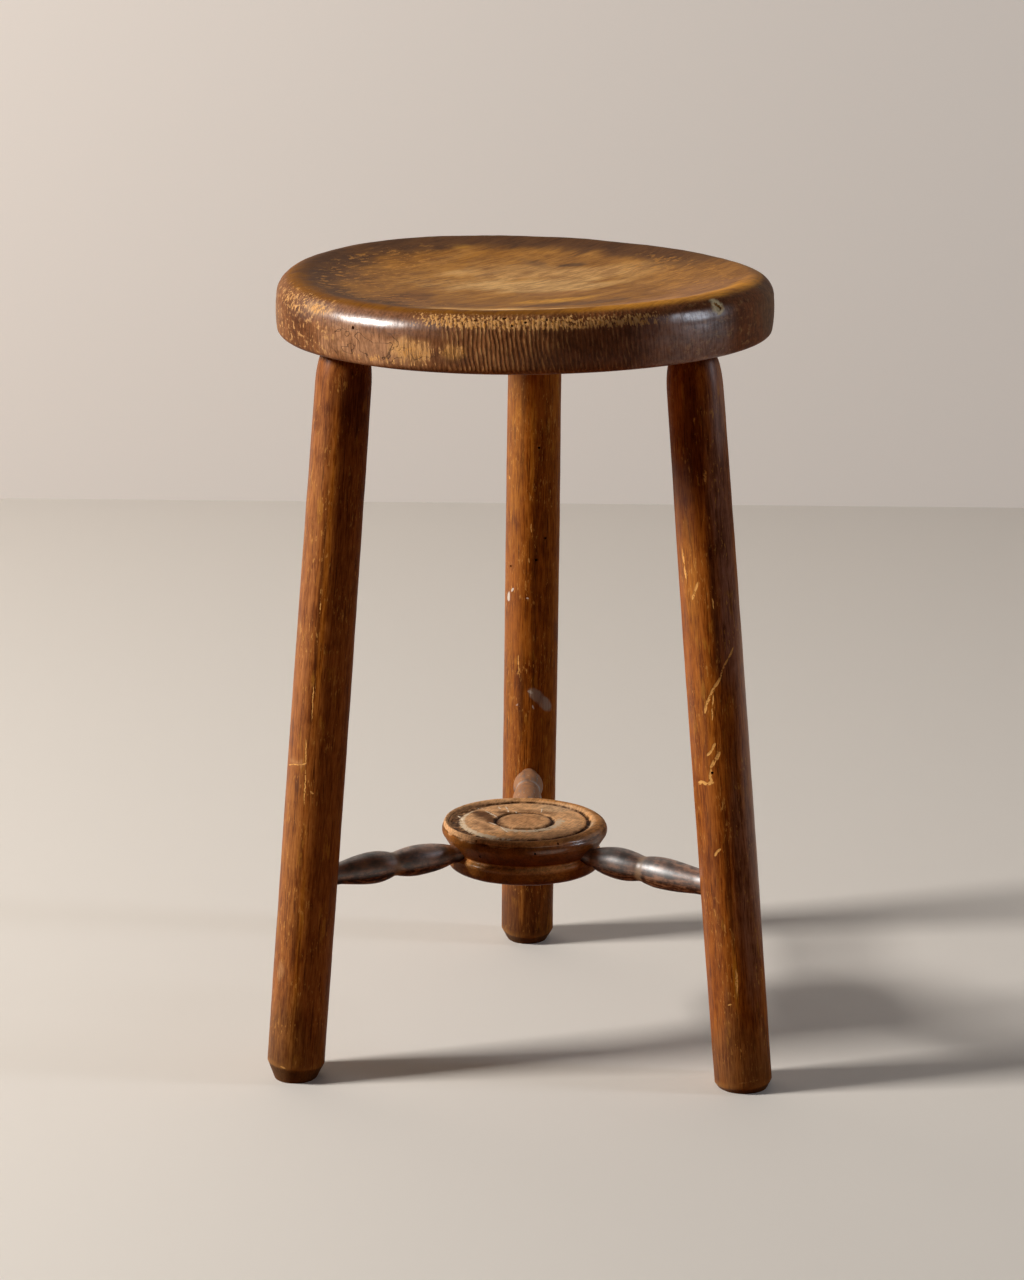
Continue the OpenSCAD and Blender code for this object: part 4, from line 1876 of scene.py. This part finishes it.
@dataclass
class Hub(Piece):
    """The turned hub: a grooved face, a rounded rim, a cove and a lower bead."""

    width: float = 97.4 * MM
    rim_width: float = 8.2 * MM
    rim_height: float = 5.5 * MM
    rise: float = 13.9 * MM
    drop: float = 13.4 * MM
    low_width: float = 90.6 * MM
    low_height: float = 10.2 * MM
    low_radius: float = 3.8 * MM
    shoulder_radius: float = 2.4 * MM
    bowl_radius: float = 4.0 * MM
    cove_width: float = 85.0 * MM
    cove_drop: float = 2.6 * MM
    bowl_turn: float = 32.0
    crease_height: float = 11.0 * MM
    groove_width: float = 5.3 * MM
    groove_depth: float = 2.4 * MM
    face_drop: float = 0.9 * MM
    button_width: float = 30.4 * MM
    button_groove: float = 3.4 * MM
    button_depth: float = 1.5 * MM
    button_dome: float = 0.8 * MM
    off_centre: float = 2.6 * MM
    face_low: float = 8.0 * MM
    tenon_width: float = 11.2 * MM
    tenon_depth: float = 19.0 * MM
    worm_holes: tuple[Colour, ...] = (
        (-27.2, -39.2, 11.9),
        (7.1, -48.1, 7.6),
        (20.2, -43.0, 12.2),
        (-25.1, -38.5, 2.5),
    )
    finish: HubFinish = HubFinish()
    sides: int = 256
    name = "hub_wood"
    place = LAYOUT.hub_frame()

    def outline(self) -> Outline:
        """Half outline from the middle of the underside round to the middle of the button.

        Returns:
            The points.
        """
        outer, low_out, button = self.width / 2.0, self.low_width / 2.0, self.button_width / 2.0
        half, low, edge, bend = self.rim_width / 2.0, self.low_radius, self.shoulder_radius, self.bowl_radius
        base, face = self.rise - self.rim_height, self.rise - self.face_drop
        inner_end = 180.0 - math.degrees(math.asin(1.0 - self.groove_depth / self.rim_height))
        foot = oval_arc(low_out - low, low - self.drop, low, low, -90.0, 0.0, 10)
        shoulder = oval_arc(low_out - edge, self.low_height - self.drop - edge, edge, edge, 0.0, 90.0, 8)
        neck = (self.cove_width / 2.0, -self.cove_drop)
        bowl = oval_arc(outer - bend, base, bend, bend, -self.bowl_turn, 0.0, 12)
        rim = oval_arc(outer - half, base, half, self.rim_height, 0.0, inner_end, 60)
        groove_mid = (rim[-1][0] - self.groove_width / 2.0, rim[-1][1])
        groove_in = (rim[-1][0] - self.groove_width, face)
        ring_in = (button + self.button_groove, face)
        ring_low = (button + self.button_groove / 2.0, face - self.button_depth)
        points = straight((0.0, -self.drop), foot[0], 12) + foot[1:]
        points += straight(foot[-1], shoulder[0], 6) + shoulder[1:]
        points += straight(shoulder[-1], neck, 4) + straight(neck, bowl[0], 16) + bowl[1:] + rim[1:]
        points += straight(rim[-1], groove_mid, 4) + straight(groove_mid, groove_in, 6)
        points += straight(groove_in, ring_in, 16) + straight(ring_in, ring_low, 4)
        points += straight(ring_low, (button, face), 4)
        for i in range(1, 13):
            reach = 1.0 - i / 12.0
            points.append((button * reach, face + self.button_dome * (1.0 - reach * reach)))
        return [(0.0, -self.drop), *points]

    def shape(self, point: Vector) -> Vector:
        """Sets the face's outer groove off centre, and leaves the turned parts worn.

        Args:
            point: A point in the hub's own frame.

        Returns:
            The point.
        """
        reach = math.hypot(point.x, point.y)
        if reach < 1.0 * MM:
            return point
        moved = point.copy()
        if point.z > self.face_low and reach > 35.9 * MM:
            bulge = window(reach, 35.9 * MM, 40.0 * MM, 43.0 * MM, 48.6 * MM)
            moved = pushed(point, self.off_centre * bulge * -point.x / reach)
        if reach > 45.0 * MM:
            crease = math.exp(-(((point.z - self.crease_height) / (0.45 * MM)) ** 2))
            moved = pushed(moved, -0.4 * MM * crease)
        moved += UP * 0.12 * MM * noise.noise(point * 120.0)
        return moved

    def bores(self) -> list[Bore]:
        """The three sockets and the worm holes."""
        worm_holes = (self.worm_hole(Vector(spot) * MM) for spot in self.worm_holes)
        return [*(self.socket(side) for side in Side), *worm_holes]

    def rules(self) -> Mapping[str, Rule]:
        """Colour and wear of the hub.

        Returns:
            Name and rule of each attribute.
        """
        return {
            "tint": self.tint,
            "top": self.on_top,
            "groove_shade": self.groove_shade,
            "dust": self.dust,
            "gloss": self.gloss,
            "hole_shade": self.hole_shade,
        }

    def socket(self, side: Side) -> Bore:
        """Socket in the cove for the tenon of a stretcher.

        Args:
            side: Which stretcher.

        Returns:
            The hole.
        """
        way = LAYOUT.stretcher_frame(side).along
        centre = LAYOUT.hub_centre
        bottom = centre + way * (self.cove_width / 2.0 - self.tenon_depth)
        return Bore(centre + way * 60.0 * MM, bottom, self.tenon_width / 2.0)

    def worm_hole(self, spot: Vector) -> Bore:
        """A worm hole that starts at a spot on the hub's own surface.

        Args:
            spot: Where the hole is on the surface.

        Returns:
            The hole.
        """
        out = Vector((spot.x, spot.y, 0.0)).normalized()
        mouth, bottom = (self.place.matrix @ (spot + out * far * MM) for far in (3.0, -4.0))
        return Bore(mouth, bottom, 0.7 * MM, 12)

    def on_top(self, point: Vector) -> float:
        """1 on the face and the crest of the rim, 0 below."""
        return smooth_step(point.z, 9.0 * MM, 12.6 * MM)

    def tint(self, point: Vector) -> Colour:
        """Broad colour of the hub at a point, with painted light on the rim and the shoulder, and painted
        shade in the cove and underneath.

        Args:
            point: A point in the hub's own frame.

        Returns:
            The colour.
        """
        reach, height, turn = polar(point)
        ripple = noise.fractal(point * 110.0, 0.7, 2.1, 4)
        low = smooth_step(height, -1.6, -2.4)
        shoulder = smooth_step(height, -6.5, -4.2)
        height += 1.2 * ripple
        if height > 10.4:
            colour = covered(HUB_FACE, HUB_PATCHES, point.x / MM, point.y / MM, ripple)
            rim = smooth_step(reach, 41.0, 43.0)
            # Painted light and shade: the rim takes the face's paler colour on its left, which faces the key
            # lamp, and the darker rim colour elsewhere
            lit = around(turn, 170.0, 110.0, 50.0)
            colour = blend(colour, blend(HUB_RIM, HUB_FACE, lit), rim)
            return blend(HUB_SIDE, colour, smooth_step(height, 10.4, 11.4))
        # Painted shade: darker down the undercut of the bowl towards the neck, and on the underside
        side = blend(HUB_SIDE, HUB_COVE_SHADE, smooth_step(height, 6.5, 1.5))
        foot = blend(HUB_LOW, HUB_COVE_SHADE, smooth_step(height, -8.5, -12.0))
        # Painted light on the shoulder of the lower bead, under the bowl's overhang
        return blend(side, blend(foot, HUB_SHOULDER_LIGHT, shoulder), low)

    def groove_shade(self, point: Vector) -> float:
        """Painted shade in the grooves of the face and in the crease under the rim.

        Args:
            point: A point in the hub's own frame.

        Returns:
            A number from 0 to 1.
        """
        reach = math.hypot(point.x, point.y) / MM
        if reach > 45.5:
            return 0.5 * smooth_step(abs(point.z - self.crease_height), 0.6 * MM, 0.15 * MM)
        if point.z < self.face_low:
            return 0.0
        outer = smooth_step(point.z, 12.9 * MM, 12.1 * MM) * smooth_step(reach, 43.6, 42.4)
        return max(outer, 0.75 * smooth_step(abs(reach - 16.4), 2.0, 0.8))

    def gloss(self, point: Vector) -> float:
        """Where the rim is polished, on the side that faces front and right.

        Args:
            point: A point in the hub's own frame.

        Returns:
            A number from 0 to 1.
        """
        turn = math.degrees(math.atan2(point.y, point.x))
        band = window(point.z, 6.0 * MM, 8.5 * MM, 12.2 * MM, 13.2 * MM)
        low = 0.2 * window(point.z, -7.0 * MM, -5.0 * MM, -3.6 * MM, -2.8 * MM)
        return max(band * around(turn, -52.0, 38.0, 20.0), low) * self.off_face(point)

    @staticmethod
    def off_face(point: Vector) -> float:
        """1 on the side of the hub and 0 on its face."""
        return smooth_step(math.hypot(point.x, point.y), 38.0 * MM, 41.0 * MM)

    def dust(self, point: Vector) -> float:
        """Pale dust that lies in the grooves, mostly on the left and in front of the button.

        Args:
            point: A point in the hub's own frame.

        Returns:
            A number from 0 to 1.
        """
        reach, _, turn = polar(point)
        if point.z < self.face_low:
            return 0.0
        drifts = (
            (1.0, (36.9, 2.6, 0.8), (-160.0, 65.0, 40.0)),
            (0.7, (39.6, 2.2, 0.8), (-25.0, 30.0, 15.0)),
            (1.0, (20.6, 4.2, 1.0), (-60.0, 90.0, 50.0)),
        )
        return max(
            strength * smooth_step(abs(reach - ring), *width) * around(turn, middle, *spread)
            for strength, (ring, *width), (middle, *spread) in drifts
        )

    def hole_shade(self, point: Vector) -> float:
        """Painted shade: 1 down in the worm holes of the rim.

        Args:
            point: A point in the hub's own frame.

        Returns:
            A number from 0 to 1.
        """
        if point.z < 4.5 * MM or point.z > 13.0 * MM:
            return 0.0
        half = self.rim_width / 2.0
        away = math.hypot(point.x, point.y) - (self.width / 2.0 - half)
        height = point.z - (self.rise - self.rim_height)
        oval = math.hypot(away / half, height / self.rim_height)
        return smooth_step(oval, 0.88, 0.78) if away > 0.0 else 0.0


HUB_FACE: Colour = (0.6, 0.325, 0.15)
# Darker rim colour away from the key lamp: painted shade
HUB_RIM: Colour = (0.44, 0.19, 0.055)
HUB_SIDE: Colour = (0.22, 0.074, 0.012)
# Painted shade for the undercut of the bowl and the underside
HUB_COVE_SHADE: Colour = (0.15, 0.04, 0.006)
HUB_LOW: Colour = (0.3, 0.112, 0.02)
# Pale shoulder colour: painted light, where the bowl's overhang shades the shoulder
HUB_SHOULDER_LIGHT: Colour = (0.62, 0.29, 0.09)
HUB_PATCHES = patches(
    ((0, 0), (15, 15), (0.44, 0.215, 0.09), 0, 0.8, 0.1),
    ((-22, 8), (6.5, 16), (0.12, 0.048, 0.016), 25, 1, 0.5),
    ((-12, 16), (10, 5), (0.1, 0.04, 0.014), -20, 1, 0.5),
    ((6, 18), (14, 5), (0.26, 0.125, 0.055), -10, 0.7, 0.5),
    ((-24, -12), (5, 9), (0.2, 0.09, 0.034), 35, 0.7, 0.5),
    ((11, -16), (10, 4), (0.11, 0.048, 0.02), 40, 1, 0.5),
    ((-8, -30), (16, 6), (0.64, 0.32, 0.12), -10, 0.8, 0.5),
    ((36, 6), (5, 14), (0.62, 0.3, 0.11), 0, 0.7, 0.5),
    ((22, -24), (12, 6), (0.3, 0.15, 0.065), 40, 0.6, 0.5),
    ((17, 28), (12, 9), (0.56, 0.35, 0.19), 0, 0.7, 0.5),
)
HUB_LINES = (
    Mark(((-29, 30, 11.6), (-24.5, 21, 13), (-14, 2.7, 13)), 0.8),
    Mark(((-21.5, -3.4, 13), (-14.5, -11, 13), (-8.5, -25.1, 13)), 0.75),
    Mark(((-16.5, 29, 13), (-14.6, 23.4, 13)), 0.7),
    Mark(((-12.2, 29, 13), (-10.2, 22, 13), (-10.2, 17.5, 13)), 0.65),
    Mark(((-7, 20.5, 13), (-2.4, 12.5, 13.2)), 0.7),
    Mark(((-9.8, 45.6, 12.9), (-8.6, 41.5, 11.7)), 0.8),
    Mark(((10, 27, 13), (9.4, 16, 13)), 0.5),
    Mark(((-40, 13.5, 11.6), (-37.6, 8, 11.6), (-36.6, 0, 12.6)), 0.8),
)


@dataclass
class Studio:
    """Pale floor and wall, soft lamps and the camera at the photograph's angle."""

    floor: Colour = (0.78, 0.73, 0.67)
    floor_bounce: Colour = (0.25, 0.108, 0.042)
    wall: Colour = (0.8, 0.765, 0.715)
    wall_glow: float = 0.13
    wall_away: float = 1.35
    sky: Colour = (1.0, 0.84, 0.68)
    sky_light: float = 0.025
    lamps_face: Colour = (0.0, 0.0, 0.3)
    lens: float = 88.65
    camera_at: Colour = (0.0373, -1.7565, 0.7442)
    camera_pitch: float = 15.954
    camera_yaw: float = 1.432
    camera_roll: float = 0.191

    def build(self) -> None:
        """Sets up the floor, the wall, the lamps and the camera."""
        self.plane("floor", (8.0, 8.0), Matrix(), self.floor, self.floor_bounce, 0.0)
        upright = Matrix.Translation((0.0, self.wall_away, 1.5)) @ Matrix.Rotation(math.radians(90.0), 4, "X")
        self.plane("wall", (8.0, 6.0), upright, self.wall, self.wall, self.wall_glow)
        self.lamp("key_lamp", (-2.395, -0.500, 1.62), (0.5, 0.5), 93.0, (1.0, 0.965, 0.92))
        self.lamp("far_lamp", (2.20, -0.17, 1.12), (0.26, 1.25), 10.5, (0.80, 0.88, 1.0))
        world = bpy.data.worlds.new("studio")
        bpy.context.scene.world = world
        world.use_nodes = True
        sky = world.node_tree.nodes["Background"]
        sky.inputs["Color"].default_value = (*self.sky, 1.0)
        sky.inputs["Strength"].default_value = self.sky_light
        self.camera()
        bpy.context.scene.view_settings.view_transform = "Standard"

    def plane(
        self, name: str, size: tuple[float, float], place: Matrix, seen: Colour, bounce: Colour, glow: float
    ) -> None:
        """A flat stage piece, which is clear when it is seen from its back.

        Args:
            name: Name of the object.
            size: Width and length in metres.
            place: Where its middle lies and how it is turned.
            seen: Its plain colour, as the camera and the gloss of the wood see it.
            bounce: The colour that it throws back on the stool.
            glow: Light of its own that the camera and the gloss of the wood see.
        """
        work = bmesh.new()
        stretch = Matrix.Diagonal((size[0] / 2.0, size[1] / 2.0, 1.0, 1.0))
        bmesh.ops.create_grid(work, x_segments=1, y_segments=1, size=1.0, matrix=place @ stretch)
        sheet = object_from(name, work)
        shader = Shader(name)
        rays = ("Is Camera Ray", "Is Glossy Ray", "Is Transmission Ray")
        first, *others = (shader.put("ShaderNodeLightPath", ray, {}) for ray in rays)
        direct = first.most(*others)
        inputs = {
            "Base Color": direct.mix(bounce, seen),
            "Emission Color": seen,
            "Emission Strength": direct * glow,
            "Alpha": 1.0 - shader.put("ShaderNodeNewGeometry", "Backfacing", {}),
            "Roughness": 0.85,
        }
        shader.feed(shader.surface, inputs)
        sheet.data.materials.append(shader.material)

    def lamp(self, name: str, spot: Colour, size: tuple[float, float], power: float, colour: Colour) -> None:
        """An oblong soft lamp that faces the stool.

        Args:
            name: Name of the lamp.
            spot: Where it hangs, in metres.
            size: Its width and its height in metres.
            power: Power in watts.
            colour: Colour of its light.
        """
        light = bpy.data.lights.new(name, "AREA")
        light.shape = "RECTANGLE"
        light.size, light.size_y = size
        light.energy = power
        light.color = colour
        lamp = bpy.data.objects.new(name, light)
        way = Vector(self.lamps_face) - Vector(spot)
        lamp.visible_camera = False
        lamp.matrix_world = Matrix.Translation(spot) @ facing(way, "-Z")
        bpy.context.scene.collection.objects.link(lamp)

    def camera(self) -> None:
        """The camera, as it stood for the photograph."""
        data = bpy.data.cameras.new("camera")
        data.sensor_width = 36.0
        data.sensor_fit = "AUTO"
        data.lens = self.lens
        camera = bpy.data.objects.new("camera", data)
        turn = (
            Matrix.Rotation(math.radians(self.camera_yaw), 4, "Z")
            @ Matrix.Rotation(math.radians(90.0 - self.camera_pitch), 4, "X")
            @ Matrix.Rotation(math.radians(self.camera_roll), 4, "Z")
        )
        camera.matrix_world = Matrix.Translation(self.camera_at) @ turn
        bpy.context.scene.collection.objects.link(camera)
        bpy.context.scene.camera = camera


# Radius in millimetres that the marks of the legs are drawn at
LEG_ROUND = 16.4
LEFT_SCRATCHES = round_marks(
    (0.6, (-158, 186.8), (-140, 188.6), (-122, 189.4), (-106, 191.6)),
    (0.5, (-112, 206), (-108, 190), (-106, 165)),
    (0.6, (-96, 175.6), (-89, 174)),
    (0.35, (-104, 358), (-103, 300), (-100, 262)),
    (0.4, (-104, 240), (-102, 214)),
    (0.6, (-106, 9.5), (-120, 10.2), (-150, 12)),
)
RIGHT_SCRATCHES = round_marks(
    (0.81, (-48, 261), (-62, 255.5), (-76, 250), (-80, 246)),
    (1.08, (-80, 246), (-95, 240), (-103, 236), (-113, 230), (-117, 225.5)),
    (0.61, (-97, 236.5), (-101, 229), (-103, 221)),
    (0.94, (-100, 208.5), (-108, 204), (-118, 201)),
    (1.22, (-92, 203), (-102, 198.5), (-112, 194.5)),
    (1.22, (-112, 193), (-116, 188.5), (-112, 185.6)),
    (1.22, (-110, 185.6), (-122, 184.2), (-134, 185.2), (-146, 184)),
    (0.94, (-105, 146.4), (-112, 145), (-116, 143)),
    (1.08, (-147, 318), (-143, 309), (-140, 301)),
    (0.94, (-113, 300), (-121, 294), (-127, 290)),
    (0.54, (-86, 291), (-85, 284)),
    (0.61, (-73, 396), (-75, 373)),
    (0.94, (-96, 397), (-97, 382)),
    (1.22, (-83, 362), (-84, 355)),
    (1.08, (-90, 76), (-92, 60)),
    (0.68, (-104, 54.5), (-112, 54)),
    (1.08, (-60, 7.6), (-100, 6.6), (-150, 8.4)),
)
BACK_SCRATCHES = round_marks(
    (0.4, (-92, 289), (-92, 281)),
    (0.5, (-96, 266), (-96, 263)),
    (0.8, (-152, 315), (-150, 314)),
    (0.7, (-117, 203), (-116, 187)),
)
# On a leg the patches lie at a direction in degrees and a length in millimetres.
LEFT_PATCHES = patches(
    # Painted light: lighter and paler on the side that faces the key lamp
    ((-135, 310), (24, 130), (0.35, 0.118, 0.027), 0, 0.8),
    ((-94, 300), (5, 120), (0.38, 0.12, 0.009), 0, 0.6),
    ((-103, 310), (3, 105), (0.085, 0.02, 0.003), 0, 0.85, 0.7),
    ((-112, 385), (8, 26), (0.2, 0.06, 0.014), 0, 0.6, 0.5),
    # Painted shade under the seat, on the side away from the key lamp
    ((-60, 400), (40, 26), (0.18, 0.055, 0.016), 0, 0.8),
    # Painted light: lighter and paler on the side that faces the key lamp
    ((-130, 140), (26, 60), (0.33, 0.112, 0.019), 0, 0.7),
    ((-106, 130), (4, 60), (0.1, 0.026, 0.004), 0, 0.75, 0.7),
    ((-96, 80), (6, 60), (0.36, 0.12, 0.01), 0, 0.6),
    ((-125, 178), (6, 8), (0.12, 0.032, 0.008), 0, 0.85, 0.5),
    ((-148, 266), (8, 5), (0.56, 0.26, 0.075), 0, 0.6, 0.8),
    ((-128, 190.5), (22, 2), (0.54, 0.26, 0.09), 0, 0.5, 0.8),
    ((-140, 66), (12, 5), (0.52, 0.27, 0.11), 0, 0.5, 0.9),
    ((-110, 26), (75, 30), (0.215, 0.08, 0.016), 0, 0.75),
)
RIGHT_PATCHES = patches(
    # Painted light: lighter and paler on the side that faces the key lamp
    ((-132, 300), (22, 44), (0.4, 0.13, 0.013), 0, 0.8, 0.5),
    # Painted shadow of the seat across the top of the leg
    ((-105, 385), (26, 40), (0.17, 0.042, 0.005), 0, 0.9),
    # Painted sheen: greyer and bluer where the far lamp's cool light is reflected
    ((-48, 330), (34, 120), (0.23, 0.092, 0.05), 0, 0.9),
    # Painted light: lighter and paler on the side that faces the key lamp
    ((-120, 225), (28, 34), (0.4, 0.12, 0.011), 0, 0.6, 0.5),
    ((-85, 290), (7, 40), (0.08, 0.018, 0.003), 0, 0.7, 0.6),
    ((-94, 125), (7, 60), (0.11, 0.03, 0.005), 0, 0.7, 0.6),
    # Painted light: lighter and paler on the side that faces the key lamp
    ((-125, 120), (14, 40), (0.33, 0.1, 0.02), 0, 0.6, 0.5),
    # Painted sheen: greyer and bluer where the far lamp's cool light is reflected
    ((-50, 120), (34, 90), (0.24, 0.096, 0.045), 0, 0.8),
    ((-92, 72), (6, 18), (0.52, 0.2, 0.014), 0, 0.75, 0.6),
    ((-108, 40), (14, 24), (0.14, 0.044, 0.012), 0, 0.7, 0.5),
    ((-90, 22), (90, 26), (0.22, 0.078, 0.018), 0, 0.7),
)
BACK_PATCHES = patches(
    # Painted light: lighter and paler on the side that faces the key lamp
    ((-135, 345), (26, 80), (0.36, 0.12, 0.013), 0, 0.7, 0.5),
    ((-112, 360), (5, 50), (0.19, 0.058, 0.006), 0, 0.6, 0.6),
    ((-92, 340), (5, 50), (0.45, 0.16, 0.014), 0, 0.5, 0.6),
    ((-84, 240), (6, 70), (0.12, 0.03, 0.004), 0, 0.6, 0.6),
    # Painted light: lighter and paler on the side that faces the key lamp
    ((-140, 180), (14, 40), (0.4, 0.132, 0.012), 0, 0.7, 0.5),
    ((-108, 165), (8, 34), (0.095, 0.024, 0.004), 0, 0.8, 0.6),
    ((-90, 24), (90, 42), (0.15, 0.048, 0.01), 0, 0.9, 0.5),
    ((-102, 30), (5, 22), (0.42, 0.16, 0.03), 0, 0.5, 0.8),
)
BACK_SMEARS = round_marks((4.6, (-84, 177.5), (-66, 172), (-46, 165.5)))
BACK_FLECKS = round_marks(
    (1, (-132, 244), (-138, 242)),
    (1.7, (-147, 240), (-149, 237), (-149, 235.5)),
    (0.8, (-97, 239.5), (-99, 239.5)),
    (1.4, (-92, 178), (-86, 177)),
    (0.9, (-85, 168.6), (-82, 166.4)),
    (0.9, (-117, 168.6), (-120, 168)),
)


class Stool:
    """The whole stool, piece by piece."""

    def __init__(self) -> None:
        """Sets the sizes and the marks of each piece."""
        self.seat = Seat()
        self.hub = Hub(finish=HubFinish(lines=HUB_LINES))
        self.legs = (
            Leg(
                Side.LEFT,
                LegFinish(scratches=LEFT_SCRATCHES),
                bevel_height=11.0 * MM,
                patches=LEFT_PATCHES,
            ),
            Leg(
                Side.RIGHT,
                LegFinish(seed=3.7, scratches=RIGHT_SCRATCHES),
                bevel_width=3.0 * MM,
                bevel_height=5.0 * MM,
                socket_width=14.4 * MM,
                worm_holes=((-110.3, 191.0),),
                stain=(0.33, 0.09, 0.01),
                patches=RIGHT_PATCHES,
                sheens=((-24.0, 190.0, 130.0, 1.0), (-40.0, 405.0, 50.0, 0.8)),
                shine_top=340.0,
            ),
            Leg(
                Side.BACK,
                LegFinish(seed=7.3, scratches=BACK_SCRATCHES, flecks=BACK_FLECKS, smears=BACK_SMEARS),
                top_width=31.6 * MM,
                socket_width=10.6 * MM,
                worm_holes=((-77.4, 336.2), (-60.7, 278.2), (-80.6, 264.5), (-141.5, 258.1)),
                stain=(0.31, 0.088, 0.009),
                patches=BACK_PATCHES,
            ),
        )
        sizes = (
            (Side.LEFT, 37.2, 12.6, 17.7, 18.6, 13.7),
            (Side.RIGHT, 40.8, 14.2, 18.4, 18.3, 14.7),
            (Side.BACK, 33.0, 10.4, 18.0, 18.4, 14.0),
        )
        self.stretchers = [Stretcher(side, *(size * MM for size in row)) for side, *row in sizes]

    def build(self) -> None:
        """Builds every piece and ties it to the frame."""
        self.tie(self.seat.build(), "seat", "seat_wood")
        self.tie(self.hub.build(), "hub", "hub_wood")
        for leg, stretcher in zip(self.legs, self.stretchers):
            self.tie(leg.build(), f"leg_{leg.side.word}", "leg_wood")
            self.tie(stretcher.build(), f"stretcher_{stretcher.side.word}", "stretcher_wood")

    @staticmethod
    def tie(piece: bpy.types.Object, node: str, slot: str) -> None:
        """Ties a piece to the frame in the place of one node.

        Args:
            piece: The finished object.
            node: The node that it stands for.
            slot: Name of a slot for the piece's finish; not used.
        """
        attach(piece, "root")
        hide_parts(node)
        LOG.info("%s: %d faces", piece.name, len(piece.data.polygons))


def main() -> None:
    """Builds the stool and its studio."""
    logging.basicConfig(level=logging.INFO, format="%(name)s %(message)s")
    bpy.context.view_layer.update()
    Stool().build()
    Studio().build()


if __name__ == "__main__":
    main()
